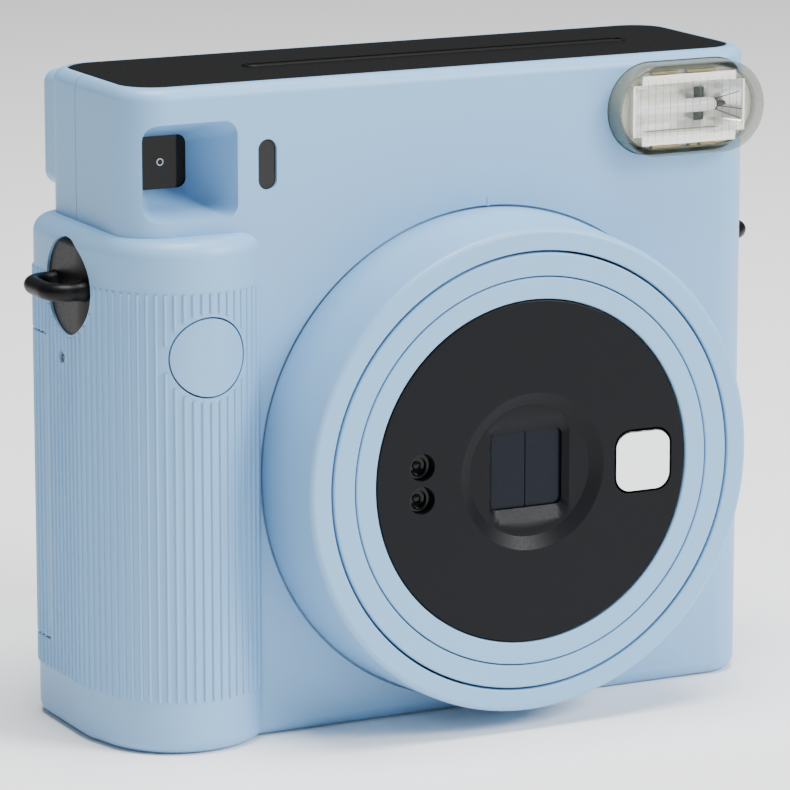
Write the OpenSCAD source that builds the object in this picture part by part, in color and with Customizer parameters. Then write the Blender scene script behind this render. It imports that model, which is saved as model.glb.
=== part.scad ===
// Instant camera for square film, standing on its base.
// +Z is up, the lens looks along -Y and +X is to the right of the lens as it is faced.
// The origin is on the base, midway across the width and midway through the depth of the body.

/* [Body] */
// Width over the grip and the plain side
body_w = 130.7; // [130:0.1:132]
// Height from the base to the top
body_h = 118.6; // [118:0.1:120]
// Depth from the front face to the back door
body_d = 39.5; // [39.3:0.1:40]
// Thickness of the moulded shells
wall = 2; // [1.8:0.1:2.2]
// Corner radius in plan
corner_r = 8; // [7:0.5:9]
// Edge radius round the base
base_edge_r = 2.5; // [1.5:0.5:3]
// Edge radius round the top
top_edge_r = 2.3; // [1.5:0.1:2.5]

/* [Grip] */
// How far the grip stands out beside the upper body
grip_step = 4.45; // [4:0.05:5]
// Radius of the grip's round front in plan
grip_r = 16; // [15.5:0.1:16.5]
// Height of the grip's shoulder
shoulder_z = 92.5; // [91:0.5:93]
// Edge radius of the shoulder
shoulder_r = 3.2; // [3:0.1:4.5]

/* [Lens] */
// Lens axis to the right of the middle
lens_x = 9.3; // [9:0.1:9.6]
// Lens axis above the base
lens_z = 47.9; // [47.5:0.1:48.5]
// How far the lens stands in front of the body when it is off
lens_proud = 18; // [17:0.5:19]
// Radius of the dial where it meets the body
dial_base_r = 45.2; // [44.8:0.1:45.3]
// Radius of the dial at its front edge
dial_front_r = 44.1; // [43.8:0.1:44.5]
// Bore of the dial
dial_bore_r = 40.1; // [40:0.1:40.3]
// Radius of the black front plate
plate_r = 31.2; // [30.8:0.1:31.3]

/* [Film and batteries] */
// Width of the film pack
pack_w = 82; // [80:1:83]
// Height of the film pack
pack_h = 93; // [90:1:94]
// Thickness of the film pack
pack_t = 13; // [12:0.5:13.5]
// Diameter of one lithium cell
cell_d = 15.4; // [15:0.1:15.6]
// Length of one lithium cell
cell_l = 27; // [26:0.5:27]

/* [Hidden] */

$fn = 96;
eps = 0.01;
gap = 0.3;

front_y = -body_d / 2;
back_y = body_d / 2;
side_x = body_w / 2;
upper_x = -side_x + grip_step;
top_z = body_h;

// The grip's front is an arc about one centre, and its side starts from a second one.
grip_front = [upper_x + 12.7, front_y + 10.4];
grip_side = [-side_x + grip_r, front_y + 15];
// The grip cover ends where its arc meets the flat front face.
grip_seam_x = grip_front[0] + sqrt(pow(grip_r, 2) - pow(grip_front[1] - front_y, 2));
grip_seam_y = 8;
// The front and rear shells part just behind mid-depth.
seam_y = 3.8;

plate_t = 1.1;
plate_rim_front = 3;
plate_rim = 2.3;
plate_corner_r = 6.5;
exit_slot = [76.5, 2.6];
exit_slot_y = 0.3;

finder_x = -49.2;
finder_z = 103.7;
finder_open = [18.1, 17.4];
finder_window = [9.7, 9.5];
finder_depth = 13;
// The finder's tube stops where the body's rounded rear corner would meet it
finder_tube_back_y = back_y - wall - 1.3;

eyepiece_at = [-46, 106.5];
eyepiece_size = [25.2, 21];
eyepiece_depth = 4.6;
eyepiece_glass = [14, 11];

sensor_x = -34.4;
sensor_z = 104.1;
sensor_size = [3.6, 9];

flash_mid = [49.1, 108.75];
flash_size = [30.4, 16.9];
flash_proud = 4.7;
flash_back = 5;
flash_wall = 1.2;
flash_tube_r = 1.3;
reflector_y = front_y - flash_proud + flash_wall + 0.4;

lug_y = front_y + 18.25;
lug_z = 82;
lug_r = 8.75;
lug_face_x = 64.1;
lug_plate_t = 2.2;
// The loop's round bar: its radius, the spread of its legs, and its two bends
lug_bar_r = 1.6;
lug_leg_y = 6.2;
lug_bend_r = 3.8;
lug_bend_x = 2.5;

button_x = -48.3;
button_z = 71.8;
button_r = 7.1;
button_travel = 1.2;
button_foot_y = front_y + 1.1;

lens_front_y = front_y - lens_proud;
ring_front_y = lens_front_y + 0.1;
barrel_r = 39.7;
barrel_bore_r = 37.9;
guide_r = 37.6;
guide_bore_r = 36.2;
guide_front_y = front_y - 12;
guide_flange_y = front_y + 4.2;
boss_at = 46;
boss_r = 1.8;
boss_angles = [45, 135, 225, 315];
trim_r = 35.3;
web_front_y = lens_front_y + 3;
web_back_y = web_front_y + 2;
blade_front_y = web_front_y + 0.35;
housing_y = web_back_y + 0.05;
housing_r = 17;
housing_depth = 11;
leaf_pivot = [5, -8.5];
blade_t = 0.8;
window_size = [14.6, 14.4];
blade_h = 18;
recess_r = 13.6;
recess_depth = 2.2;
hole_at = [-22.2, 3];
hole_r = 2.5;
mirror_at = [22.6, -0.2];
mirror_size = 11.2;

film_y = 0.8;
pack_z = 8;
image_size = 62.5;
snout_bore_r = 17.4;
chamber_t = 1.6;
dark_box = 67;

roller_r = 2.6;
roller_z = 107.5;
roller_half = 38;
roller_front_y = film_y - roller_r + 0.1;
roller_rear_y = film_y + roller_r + 0.3;
journal_r = 1.5;
bracket_t = 1.5;
bracket_z = 103.4;
bracket_h = 8.6;

gear_module = 0.45;
roller_teeth = 12;
idler_teeth = 30;
pinion_teeth = 10;
gear_x = lens_x + roller_half + 5.1;
gear_w = 3;
motor_plate_x = gear_x - 1.7;
// Where the gears lie, in Y and Z
idler_back = 5.5;
idler_reach = gear_module * (roller_teeth + idler_teeth) / 2;
idler_at = [roller_front_y - idler_back, roller_z - sqrt(pow(idler_reach, 2) - pow(idler_back, 2))];
pinion_at = [idler_at[0], idler_at[1] - gear_module * (idler_teeth + pinion_teeth) / 2];
function toward(a, b) = atan2(b[1] - a[1], b[0] - a[0]);
function mesh_phase(phase, n1, n2, dir) = dir + 180 + 180 / n2 - (phase - dir) * n1 / n2;
roller_front_phase = 0;
roller_rear_phase = mesh_phase(0, roller_teeth, roller_teeth, 0);
idler_phase = mesh_phase(0, roller_teeth, idler_teeth, toward([roller_front_y, roller_z], idler_at));
pinion_phase = mesh_phase(idler_phase, idler_teeth, pinion_teeth, toward(idler_at, pinion_at));

door_x = [-33, 59.9];
door_z = [5, 111];
door_t = 2;
hinge_x = 62;
hinge_y = back_y - 2.7;
knuckle_r = 1.8;
knuckle_z = [[12, 24], [92, 104]];
pin_r = 0.8;
film_window_at = [lens_x + 22, 46];
film_window_size = [9, 34];
latch_x = door_x[0] + 6.5;
latch_size = [4.8, 12];

battery_door_z = [15.4, 71.6];
battery_door_x = -46;
cell_at = [-52.6, 6.6];
counter_at = [-40.6, 22];
counter_window_r = 3.2;
counter_dial_r = 4;
screw_at = [0.9, 68.9];
capacitor_at = [59, -10, 20];
capacitor_size = [3.6, 34];
board_at = [-41.4, -13.6, 8];
board_size = [1.2, 28, 80];

blue = "lightsteelblue";
black = "dimgray";

// ---- shared outlines ------------------------------------------------------

// Rounded rectangle, centred
module rounded(size, r) {
    square([size[0] - 2 * r, size[1]], center = true);
    square([size[0], size[1] - 2 * r], center = true);
    for (x = [-1, 1], y = [-1, 1])
        translate([x * (size[0] / 2 - r), y * (size[1] / 2 - r)]) circle(r = r);
}

// Stadium with its length across, centred
module stadium(size) {
    square([size[0] - size[1], size[1]], center = true);
    for (x = [-1, 1]) translate([x * (size[0] - size[1]) / 2, 0]) circle(d = size[1]);
}

// Extrudes an outline drawn in X and Z backwards from y
module from_front(y, depth) {
    translate([0, y, 0]) rotate([-90, 0, 0]) mirror([0, 1, 0]) linear_extrude(depth) children();
}

// Ring or disc about the lens axis between two places along Y
module lens_ring(y0, y1, r_out, r_in = 0) {
    translate([lens_x, y0, lens_z]) rotate([-90, 0, 0]) difference() {
        cylinder(r = r_out, h = y1 - y0);
        if (r_in > 0) translate([0, 0, -1]) cylinder(r = r_in, h = y1 - y0 + 2);
    }
}

// Inset and height of one slice of a rounded edge, at an angle up the quarter circle
function edge_slice(r, a) = [r * (1 - sin(a)), r * (1 - cos(a))];

// Round posts, one for each slice of a block whose top and base edges are rounded
module edged_posts(points, radii, z0, z1, r_base, r_top) {
    for (a = [0:30:90], i = [0:len(points) - 1]) {
        low = edge_slice(r_base, a);
        high = edge_slice(r_top, a);
        translate([points[i][0], points[i][1], z0 + low[1]])
            cylinder(r1 = radii[i] - low[0], r2 = radii[i] - high[0],
                     h = z1 - high[1] - z0 - low[1], $fn = 32);
    }
}

// The main block of the body, or its cavity when it is inset by the wall
module main_block(inset) {
    r = corner_r;
    hull() edged_posts(
        [[upper_x + r, front_y + r], [side_x - r, front_y + r],
         [side_x - r, back_y - r], [upper_x + r, back_y - r]],
        [r - inset, r - inset, r - inset, r - inset],
        inset, top_z - inset, base_edge_r - inset / 2, top_edge_r - inset / 2);
}

// The grip's block, which runs into the main block on its right
module grip_block(inset) {
    r = corner_r;
    hull() edged_posts(
        [grip_front, grip_side, [-side_x + r, back_y - r], [-44, back_y - r]],
        [grip_r - inset, grip_r - inset, r - inset, r - inset],
        inset, shoulder_z - inset, base_edge_r - inset / 2, shoulder_r - inset / 2);
}

// The whole skin of the camera, before it is parted into its shells
module skin() {
    difference() {
        union() {
            main_block(0);
            grip_block(0);
        }
        difference() {
            union() {
                main_block(wall);
                grip_block(wall);
            }
            // The strap lugs sit in cups moulded inside both sides
            for (s = [-1, 1]) translate([s * (lug_face_x - lug_plate_t - 0.2), lug_y, lug_z])
                rotate([0, s * 90, 0]) cylinder(r = lug_r + 1.2, h = 20);
        }
    }
}

// The part of the skin that the grip cover takes
module grip_region() {
    translate([-side_x - 5, front_y - 10, -1])
        cube([side_x + 5 + grip_seam_x, grip_seam_y - front_y + 10, shoulder_z + 1]);
}

// The rounded outline of the top plate
module top_outline(clear) {
    x0 = upper_x + plate_rim;
    x1 = side_x - plate_rim;
    y0 = front_y + plate_rim_front;
    y1 = back_y - plate_rim;
    translate([(x0 + x1) / 2, (y0 + y1) / 2])
        rounded([x1 - x0 + 2 * clear, y1 - y0 + 2 * clear], plate_corner_r);
}

module exit_slot_cut() {
    translate([lens_x, exit_slot_y, top_z - 4])
        linear_extrude(6) rounded(exit_slot, 1.2);
}

// ---- casing ---------------------------------------------------------------

module finder_funnel(grow) {
    hull() {
        translate([finder_x, 0, finder_z])
            from_front(front_y - grow / 8, 0.02)
                square([finder_open[0] + 2 * grow, finder_open[1] + 2 * grow], center = true);
        translate([finder_x, 0, finder_z])
            from_front(front_y + finder_depth, 0.02)
                square([finder_window[0] + 2 * grow, finder_window[1] + 2 * grow], center = true);
    }
}

module front_shell() {
    color(blue) difference() {
        union() {
            intersection() {
                skin();
                translate([-side_x, front_y - 5, -1]) cube([body_w, seam_y - front_y + 5, body_h + 2]);
            }
            // The wall of the finder's funnel, inside the body's outer face
            intersection() {
                finder_funnel(1.2);
                main_block(wall / 2);
            }
        }
        grip_region();
        finder_funnel(0);
        translate([0, 0, top_z - plate_t]) linear_extrude(5) top_outline(0.1);
        exit_slot_cut();
        lens_ring(front_y - 1, front_y + wall + 1, 42.4);
        translate([sensor_x, 0, sensor_z]) from_front(front_y - 1, wall + 2)
            rounded(sensor_size, sensor_size[0] / 2 - eps);
        translate([flash_mid[0], 0, flash_mid[1]]) from_front(front_y - 1, flash_back + 1.2)
            stadium([flash_size[0] + 0.3, flash_size[1] + 0.3]);
        translate([flash_mid[0] - 8, front_y + 1, top_z - 3]) cube([16, flash_back, 3 - plate_t]);
        lug_hole(1);
    }
    // Bosses that the barrel guide is screwed to
    color(blue) for (a = boss_angles) boss(a, front_y + wall - 0.1, guide_flange_y, boss_r);
}

// Cuts the hole that a strap lug fills; side is -1 on the left and 1 on the right
module lug_hole(side) {
    translate([side * (side_x - 7), lug_y, lug_z])
        rotate([0, side * 90, 0]) cylinder(r = lug_r + 0.05, h = 12);
}

// A round post beside the lens, at an angle about the lens axis
module boss(a, y0, y1, r) {
    translate([lens_x + boss_at * cos(a), y0, lens_z + boss_at * sin(a)])
        rotate([-90, 0, 0]) cylinder(r = r, h = y1 - y0);
}

module rear_shell() {
    // The shell, and the lip that the back door closes against
    color(blue) difference() {
        union() {
            intersection() {
                skin();
                translate([-side_x, seam_y, -1]) cube([body_w, back_y, body_h + 2]);
            }
            translate([door_x[0] - 3, back_y - door_t - 2.2, door_z[0] - 3.2])
                cube([door_x[1] - door_x[0] + 4.4, 2, door_z[1] - door_z[0] + 6.2]);
        }
        grip_region();
        translate([0, 0, top_z - plate_t]) linear_extrude(5) top_outline(0.1);
        exit_slot_cut();
        // The doorway, and the film chamber's mouth inside it
        translate([door_x[0] - gap, back_y - door_t - 0.2, door_z[0] - gap])
            cube([door_x[1] - door_x[0] + 2 * gap, 10, door_z[1] - door_z[0] + 2 * gap]);
        translate([lens_x - pack_w / 2 - 1.8, 0.1, pack_z - 1.8])
            cube([pack_w + 3.6, 30, pack_h + 3.6]);
        // Room behind the hinge line for the door's edge as it swings, and for its knuckles
        intersection() {
            translate([hinge_x, hinge_y, door_z[0] - gap])
                cylinder(r = 3.6, h = door_z[1] - door_z[0] + 2 * gap);
            translate([hinge_x - 5, hinge_y - 0.75, 0]) cube([10, 10, body_h]);
        }
        for (z = knuckle_z) translate([hinge_x, hinge_y, z[0] - gap])
            cylinder(r = knuckle_r + 0.35, h = z[1] - z[0] + 2 * gap);
        for (z = knuckle_z) translate([hinge_x, hinge_y, z[0] - gap - 2.3])
            cylinder(r = pin_r, h = z[1] - z[0] + 2 * gap + 4.6);
        // The battery doorway and the right lug's hole
        battery_doorway(gap);
        lug_hole(1);
        // Windows of the finder and of the film counter
        translate([finder_x, 0, finder_z]) from_front(back_y - 5, 10) rounded(eyepiece_glass + [1, 1], 2);
        translate([counter_at[0], 0, counter_at[1]]) from_front(back_y - 5, 10)
            circle(r = counter_window_r + 0.05);
    }
    // Ears that carry the hinge pins
    color(blue) for (z = knuckle_z, e = [z[0] - gap - 2.2, z[1] + gap]) difference() {
        translate([hinge_x, hinge_y, e]) cylinder(r = knuckle_r, h = 2.2);
        translate([hinge_x, hinge_y, e - 1]) cylinder(r = pin_r, h = 4.2);
    }
}

module battery_doorway(clear) {
    translate([-side_x - 5, grip_seam_y + 0.3 - clear, battery_door_z[0] - clear])
        cube([side_x + 5 + battery_door_x + clear, 40, battery_door_z[1] - battery_door_z[0] + 2 * clear]);
}

module grip_cover() {
    color(blue) difference() {
        intersection() {
            skin();
            grip_region();
        }
        translate([button_x, front_y - 10, button_z])
            rotate([-90, 0, 0]) cylinder(r = button_r + 0.15, h = 20);
        lug_hole(-1);
        translate([-side_x - 5, screw_at[0], screw_at[1]]) rotate([0, 90, 0]) cylinder(r = 1.3, h = 12);
    }
}

module top_plate() {
    color(black) difference() {
        translate([0, 0, top_z - plate_t]) linear_extrude(plate_t) top_outline(0);
        exit_slot_cut();
    }
    // Raised lip along the back of the film exit
    color(black) translate([lens_x - exit_slot[0] / 2, exit_slot_y + exit_slot[1] / 2, top_z - 0.1])
        cube([exit_slot[0], 0.8, 0.4]);
}

// ---- viewfinder and light sensor -------------------------------------------

module viewfinder_window() {
    color("black") translate([finder_x, 0, finder_z])
        from_front(front_y + finder_depth + 0.2, 1) rounded(finder_window + [1.6, 1.6], 1.5);
}

module viewfinder_tube() {
    y0 = front_y + finder_depth + 0.1;
    color(black) difference() {
        translate([finder_x, 0, finder_z]) from_front(y0, finder_tube_back_y - y0) rounded([14.4, 14], 2);
        translate([finder_x, 0, finder_z]) from_front(y0 - 1, 2.2) rounded([11.4, 11.2], 1.5);
        translate([finder_x, 0, finder_z]) from_front(y0 + 1, 40) rounded([10.6, 9], 1);
    }
}

module eyepiece_housing() {
    // A raised frame that follows the body's rounded rear corner
    wrap = corner_r / 2;
    color(blue) difference() {
        translate([eyepiece_at[0], 0, eyepiece_at[1]]) from_front(back_y - wrap, wrap + eyepiece_depth)
            rounded(eyepiece_size, 2.5);
        translate([upper_x + corner_r, back_y - corner_r, 0]) cylinder(r = corner_r, h = body_h);
        translate([upper_x + corner_r, 0, 0]) cube([eyepiece_size[0], back_y, body_h]);
        translate([finder_x, 0, finder_z]) from_front(back_y - 1, 3.6) rounded(eyepiece_glass + [1, 1], 2);
        translate([finder_x, 0, finder_z]) from_front(back_y, 10) rounded([11.6, 9], 1.5);
    }
}

module eyepiece_lens() {
    color("lightcyan") translate([finder_x, 0, finder_z])
        from_front(back_y + 0.6, 1.4) rounded(eyepiece_glass, 1.8);
}

module light_sensor_window() {
    color("dimgray") translate([sensor_x, 0, sensor_z])
        from_front(front_y + 0.5, 1.6) rounded(sensor_size - [0.1, 0.1], sensor_size[0] / 2 - 0.1);
}

// ---- flash -------------------------------------------------------------------

module flash_cover() {
    color("honeydew") translate([flash_mid[0], 0, flash_mid[1]]) difference() {
        from_front(front_y - flash_proud, flash_proud + flash_back) stadium(flash_size);
        from_front(front_y - flash_proud + flash_wall, 30)
            stadium([flash_size[0] - 2 * flash_wall, flash_size[1] - 2 * flash_wall]);
    }
}

module flash_base() {
    color("lightgray") translate([flash_mid[0], 0, flash_mid[1]]) difference() {
        from_front(front_y + flash_back - 1.4, 1.4)
            stadium([flash_size[0] - 2 * flash_wall - 0.3, flash_size[1] - 2 * flash_wall - 0.3]);
        from_front(front_y + flash_back - 3, 5) square([22, 8], center = true);
    }
}

module flash_reflector() {
    // A trough across the flash with a stepped frame round its mouth and closed ends
    depth = 7.6;
    color("gainsboro") translate([flash_mid[0], 0, flash_mid[1]]) difference() {
        union() {
            from_front(reflector_y, 1) {
                square([23.4, 9.4], center = true);
                square([19, 12.8], center = true);
            }
            from_front(reflector_y, depth) square([22, 8], center = true);
        }
        translate([-10, reflector_y + 3, 0]) rotate([0, 90, 0]) cylinder(r = 3.4, h = 20);
        from_front(reflector_y - 1, 4) square([20, 6.8], center = true);
        translate([-12, reflector_y + 3, 0]) rotate([0, 90, 0]) cylinder(r = flash_tube_r + 0.1, h = 24);
    }
}

module flash_tube() {
    color("white") translate([flash_mid[0] - 10.8, reflector_y + 3, flash_mid[1]])
        rotate([0, 90, 0]) cylinder(r = flash_tube_r, h = 21.6);
}

module flash_capacitor() {
    color("black") translate(capacitor_at) cylinder(r = capacitor_size[0], h = capacitor_size[1]);
}

// ---- electronics and batteries -------------------------------------------------

module main_board() {
    color("darkgreen") translate(board_at) cube(board_size);
}

module battery_tray() {
    x1 = cell_at[0] + cell_d / 2 + 1.6;
    color(black) {
        translate([x1 - 1.2, -2, battery_door_z[0] - 1]) cube([1.2, 17, 58]);
        for (z = [battery_door_z[0] - 1, battery_door_z[0] + 55.8])
            translate([-61, -2, z]) cube([x1 + 61, 17, 1.2]);
    }
}

module battery_cells() {
    color("silver") for (i = [0, 1])
        translate([cell_at[0], cell_at[1], battery_door_z[0] + 1.1 + i * (cell_l + 0.2)]) {
            cylinder(d = cell_d, h = cell_l - 0.8);
            cylinder(d = 5, h = cell_l);
        }
}

module battery_contacts() {
    color("gold") for (z = [battery_door_z[0] + 0.25, battery_door_z[0] + 55.4])
        translate([cell_at[0], cell_at[1], z]) cylinder(r = 4.5, h = 0.35);
}

module release_switch() {
    // A switch whose plunger stands just beyond the reach of the shutter button
    plunger_y = button_foot_y + button_travel + gap;
    color("black") translate([button_x - 4, plunger_y + 0.8, button_z - 4]) cube([8, 4, 8]);
    color("black") translate([button_x, plunger_y, button_z]) rotate([-90, 0, 0]) cylinder(r = 1.6, h = 1);
}

module grip_screw() {
    color("silver") translate([-side_x + 0.5, screw_at[0], screw_at[1]]) rotate([0, 90, 0]) difference() {
        union() {
            cylinder(r = 1.2, h = 1);
            cylinder(r = 0.7, h = 6);
        }
        for (a = [0, 90]) rotate(a) translate([-0.8, -0.15, -1]) cube([1.6, 0.3, 1.5]);
    }
}

module counter_window() {
    color("lightcyan") translate([counter_at[0], 0, counter_at[1]])
        from_front(back_y - 1.6, 1.2) circle(r = counter_window_r);
}

module counter_dial() {
    color("white") translate([counter_at[0], back_y - 3.4, counter_at[1]]) rotate([-90, 0, 0]) difference() {
        cylinder(r = counter_dial_r, h = 1);
        for (a = [0:36:324]) rotate(a) translate([counter_dial_r - 1.1, 0, -1]) cylinder(r = 0.3, h = 3);
    }
}

// ---- strap lugs ------------------------------------------------------------------

module strap_lug() {
    translate([lug_face_x - lug_plate_t, lug_y, lug_z])
        rotate([0, 90, 0]) cylinder(r = lug_r - 0.05, h = lug_plate_t);
    // Two legs, a bend on each, and the bar across
    for (s = [-1, 1]) {
        translate([lug_face_x - 0.5, lug_y + s * lug_leg_y, lug_z])
            rotate([0, 90, 0]) cylinder(r = lug_bar_r + 0.05, h = lug_bend_x + 0.55);
        translate([lug_face_x + lug_bend_x, lug_y + s * (lug_leg_y - lug_bend_r), lug_z])
            rotate([0, 0, s > 0 ? 0 : -90])
                rotate_extrude(angle = 90) translate([lug_bend_r, 0]) circle(r = lug_bar_r);
    }
    translate([lug_face_x + lug_bend_x + lug_bend_r, lug_y - lug_leg_y + lug_bend_r - 0.05, lug_z])
        rotate([-90, 0, 0]) cylinder(r = lug_bar_r + 0.05, h = 2 * (lug_leg_y - lug_bend_r) + 0.1);
}

module strap_lug_right() {
    color(black) strap_lug();
}

module strap_lug_left() {
    color(black) mirror([1, 0, 0]) strap_lug();
}

// ---- film chamber, film and feed -----------------------------------------------------

module film_chamber() {
    // A tray round the film pack, an image window, and the dark box between it and the lens
    x = lens_x;
    z1 = pack_z + pack_h;
    color("black") {
        difference() {
            translate([x - pack_w / 2 - chamber_t, film_y - 1.6, pack_z - chamber_t])
                cube([pack_w + 2 * chamber_t, 14.6, pack_h + 2 * chamber_t]);
            translate([x - pack_w / 2, film_y, pack_z]) cube([pack_w, 30, pack_h]);
            translate([x - image_size / 2, film_y - 5, lens_z - image_size / 2])
                cube([image_size, 10, image_size]);
            translate([x - 36.5, film_y - 0.2, z1 - 1]) cube([73, 1, 5]);
            translate([x - 45, film_y + 3, 30]) cube([6, 3, 14]);
        }
        difference() {
            translate([x - dark_box / 2, front_y + 5.4, lens_z - dark_box / 2])
                cube([dark_box, film_y - 1.6 - front_y - 5.4, dark_box]);
            translate([x - dark_box / 2 + 1.5, front_y + 6.9, lens_z - dark_box / 2 + 1.5])
                cube([dark_box - 3, 30, dark_box - 3]);
            lens_ring(front_y, front_y + 10, snout_bore_r);
        }
        // A snout that keeps light out round the shutter housing
        lens_ring(guide_front_y + 0.4, front_y + 5.9, snout_bore_r + 1.4, snout_bore_r);
    }
}

module film_pack() {
    color("black") difference() {
        translate([lens_x - pack_w / 2 + 0.3, film_y + 0.1, pack_z + 0.3])
            cube([pack_w - 0.6, pack_t - 0.2, pack_h - 0.6]);
        translate([lens_x - 31, film_y - 1, lens_z - 31]) cube([62, 1.7, 62]);
    }
}

module roller_bracket() {
    color("silver") {
        for (s = [-1, 1]) difference() {
            translate([lens_x + s * (roller_half + 1.2) - bracket_t / 2, -5.4, bracket_z])
                cube([bracket_t, 16, bracket_h]);
            for (y = [roller_front_y, roller_rear_y])
                translate([lens_x + s * (roller_half + 1.2) - 3, y, roller_z])
                    rotate([0, 90, 0]) cylinder(r = journal_r + 0.05, h = 6);
        }
        translate([lens_x - roller_half - 1.2, 9, bracket_z]) cube([2 * roller_half + 2.4, 1.6, bracket_h]);
    }
}

function polar(r, a) = [r * cos(a), r * sin(a)];

// A spur gear about X, with teeth thinned so that it runs with backlash
module gear(at, teeth, phase, x, w) {
    r = gear_module * teeth / 2;
    root = r - 1.15 * gear_module;
    tip = r + 0.85 * gear_module;
    pitch = 360 / teeth;
    flank = [[root, -0.28], [tip, -0.1], [tip, 0.1], [root, 0.28]];
    translate([x, at[0], at[1]]) rotate([90, 0, 90]) linear_extrude(w)
        polygon([for (i = [0:teeth - 1], f = flank) polar(f[0], phase + (i + f[1]) * pitch)]);
}

module roller(y, phase) {
    translate([lens_x - roller_half, y, roller_z])
        rotate([0, 90, 0]) cylinder(r = roller_r, h = 2 * roller_half);
    translate([lens_x - roller_half - 2.4, y, roller_z]) rotate([0, 90, 0])
        cylinder(r = journal_r, h = gear_x + 0.3 - lens_x + roller_half + 2.4);
    gear([y, roller_z], roller_teeth, phase, gear_x, gear_w);
}

module roller_front() {
    color("silver") roller(roller_front_y, roller_front_phase);
}

module roller_rear() {
    color("silver") roller(roller_rear_y, roller_rear_phase);
}

module idler_gear() {
    color("ivory") gear(idler_at, idler_teeth, idler_phase, gear_x, gear_w - 0.4);
    color("ivory") translate([motor_plate_x, idler_at[0], idler_at[1]])
        rotate([0, 90, 0]) cylinder(r = 1, h = 1.9);
}

module motor_pinion() {
    color("gold") gear(pinion_at, pinion_teeth, pinion_phase, gear_x, gear_w - 0.4);
    color("gold") translate([motor_plate_x, pinion_at[0], pinion_at[1]])
        rotate([0, 90, 0]) cylinder(r = 0.75, h = 1.9);
}

module drive_motor() {
    // The motor's can, and the plate on its end that carries the idler's shaft
    color("silver") difference() {
        union() {
            translate([motor_plate_x - 18, pinion_at[0], pinion_at[1]])
                rotate([0, 90, 0]) cylinder(r = 5, h = 18);
            translate([motor_plate_x - 0.5, pinion_at[0] - 3, pinion_at[1]])
                cube([1.5, 6, idler_at[1] - pinion_at[1] + 3]);
        }
        translate([motor_plate_x - 0.4, idler_at[0], idler_at[1]])
            rotate([0, 90, 0]) cylinder(r = 1.05, h = 5);
        translate([motor_plate_x - 0.4, pinion_at[0], pinion_at[1]])
            rotate([0, 90, 0]) cylinder(r = 0.8, h = 5);
    }
}

module film_claw() {
    color("silver") {
        translate([lens_x - pack_w / 2 - 4.4, film_y + 3.6, 32]) cube([1, 1.8, 16]);
        translate([lens_x - pack_w / 2 - 4.4, film_y + 3.6, 32]) cube([4.2, 1.8, 1.4]);
    }
}

// ---- lens --------------------------------------------------------------------------

module lens_dial() {
    // Conical flank with a front face, and a sleeve that passes into the body
    color(blue) translate([lens_x, 0, lens_z]) rotate([-90, 0, 0]) rotate_extrude() polygon([
        [dial_bore_r, ring_front_y], [dial_front_r - 1, ring_front_y],
        [dial_front_r - 0.3, ring_front_y + 0.3], [dial_front_r, ring_front_y + 1],
        [dial_base_r, front_y - gap], [42.1, front_y - gap],
        [42.1, front_y + 2.3], [dial_bore_r, front_y + 2.3]]);
}

module dial_retainer() {
    color(black) lens_ring(front_y + 2.3, front_y + 3.2, 43.6, dial_bore_r);
}

module barrel_guide() {
    // A tube for the barrel to slide on, with a flange and ears behind the front shell
    color(black) {
        lens_ring(guide_front_y, guide_flange_y + 0.8, guide_r, guide_bore_r);
        lens_ring(guide_flange_y, guide_flange_y + 0.8, 44.3, guide_bore_r);
        for (a = boss_angles) boss(a, guide_flange_y, guide_flange_y + 0.8, 2.6);
    }
}

module lens_barrel() {
    // A tube, a blue ring face and the web that carries the front plate and the shutter
    color(blue) {
        lens_ring(web_front_y, front_y - 0.2, barrel_r, barrel_bore_r);
        lens_ring(ring_front_y, web_back_y, barrel_r, trim_r + 0.2);
        lens_ring(web_front_y, web_back_y, barrel_r, 26);
    }
}

module barrel_trim_ring() {
    color(blue) lens_ring(ring_front_y, web_front_y, trim_r, plate_r + 0.2);
}

module front_plate() {
    f = lens_front_y + 0.35;
    floor_y = lens_front_y + recess_depth;
    color("black") difference() {
        lens_ring(f, web_front_y, plate_r);
        lens_ring(f - 1, floor_y, recess_r);
        translate([lens_x, 0, lens_z]) from_front(f - 1, 10) square(window_size, center = true);
        for (s = [-1, 1]) translate([lens_x + hole_at[0], f - 1, lens_z + s * hole_at[1]])
            rotate([-90, 0, 0]) cylinder(r = hole_r, h = 10);
        translate([lens_x + mirror_at[0], 0, lens_z + mirror_at[1]]) from_front(f - 1, 2.1)
            rounded([mirror_size + 0.2, mirror_size + 0.2], 3);
    }
}

module selfie_mirror() {
    color("lightgray") translate([lens_x + mirror_at[0], 0, lens_z + mirror_at[1]])
        from_front(lens_front_y - 0.2, 1.6) rounded([mirror_size, mirror_size], 3);
}

module sensor_windows() {
    color("darkslategray") for (s = [-1, 1])
        translate([lens_x + hole_at[0], lens_front_y + 1.8, lens_z + s * hole_at[1]])
            rotate([-90, 0, 0]) cylinder(r = hole_r - 0.05, h = 1);
}

// A leaf that covers the lens; side is -1 on the left and 1 on the right
module cover_blade(side) {
    translate([lens_x + side * (window_size[0] / 4 + 0.55), 0, lens_z])
        from_front(blade_front_y, blade_t) square([window_size[0] / 2 + 1, blade_h], center = true);
}

module cover_blade_left() {
    color("darkslategray") cover_blade(-1);
}

module cover_blade_right() {
    color("darkslategray") cover_blade(1);
}

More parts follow.
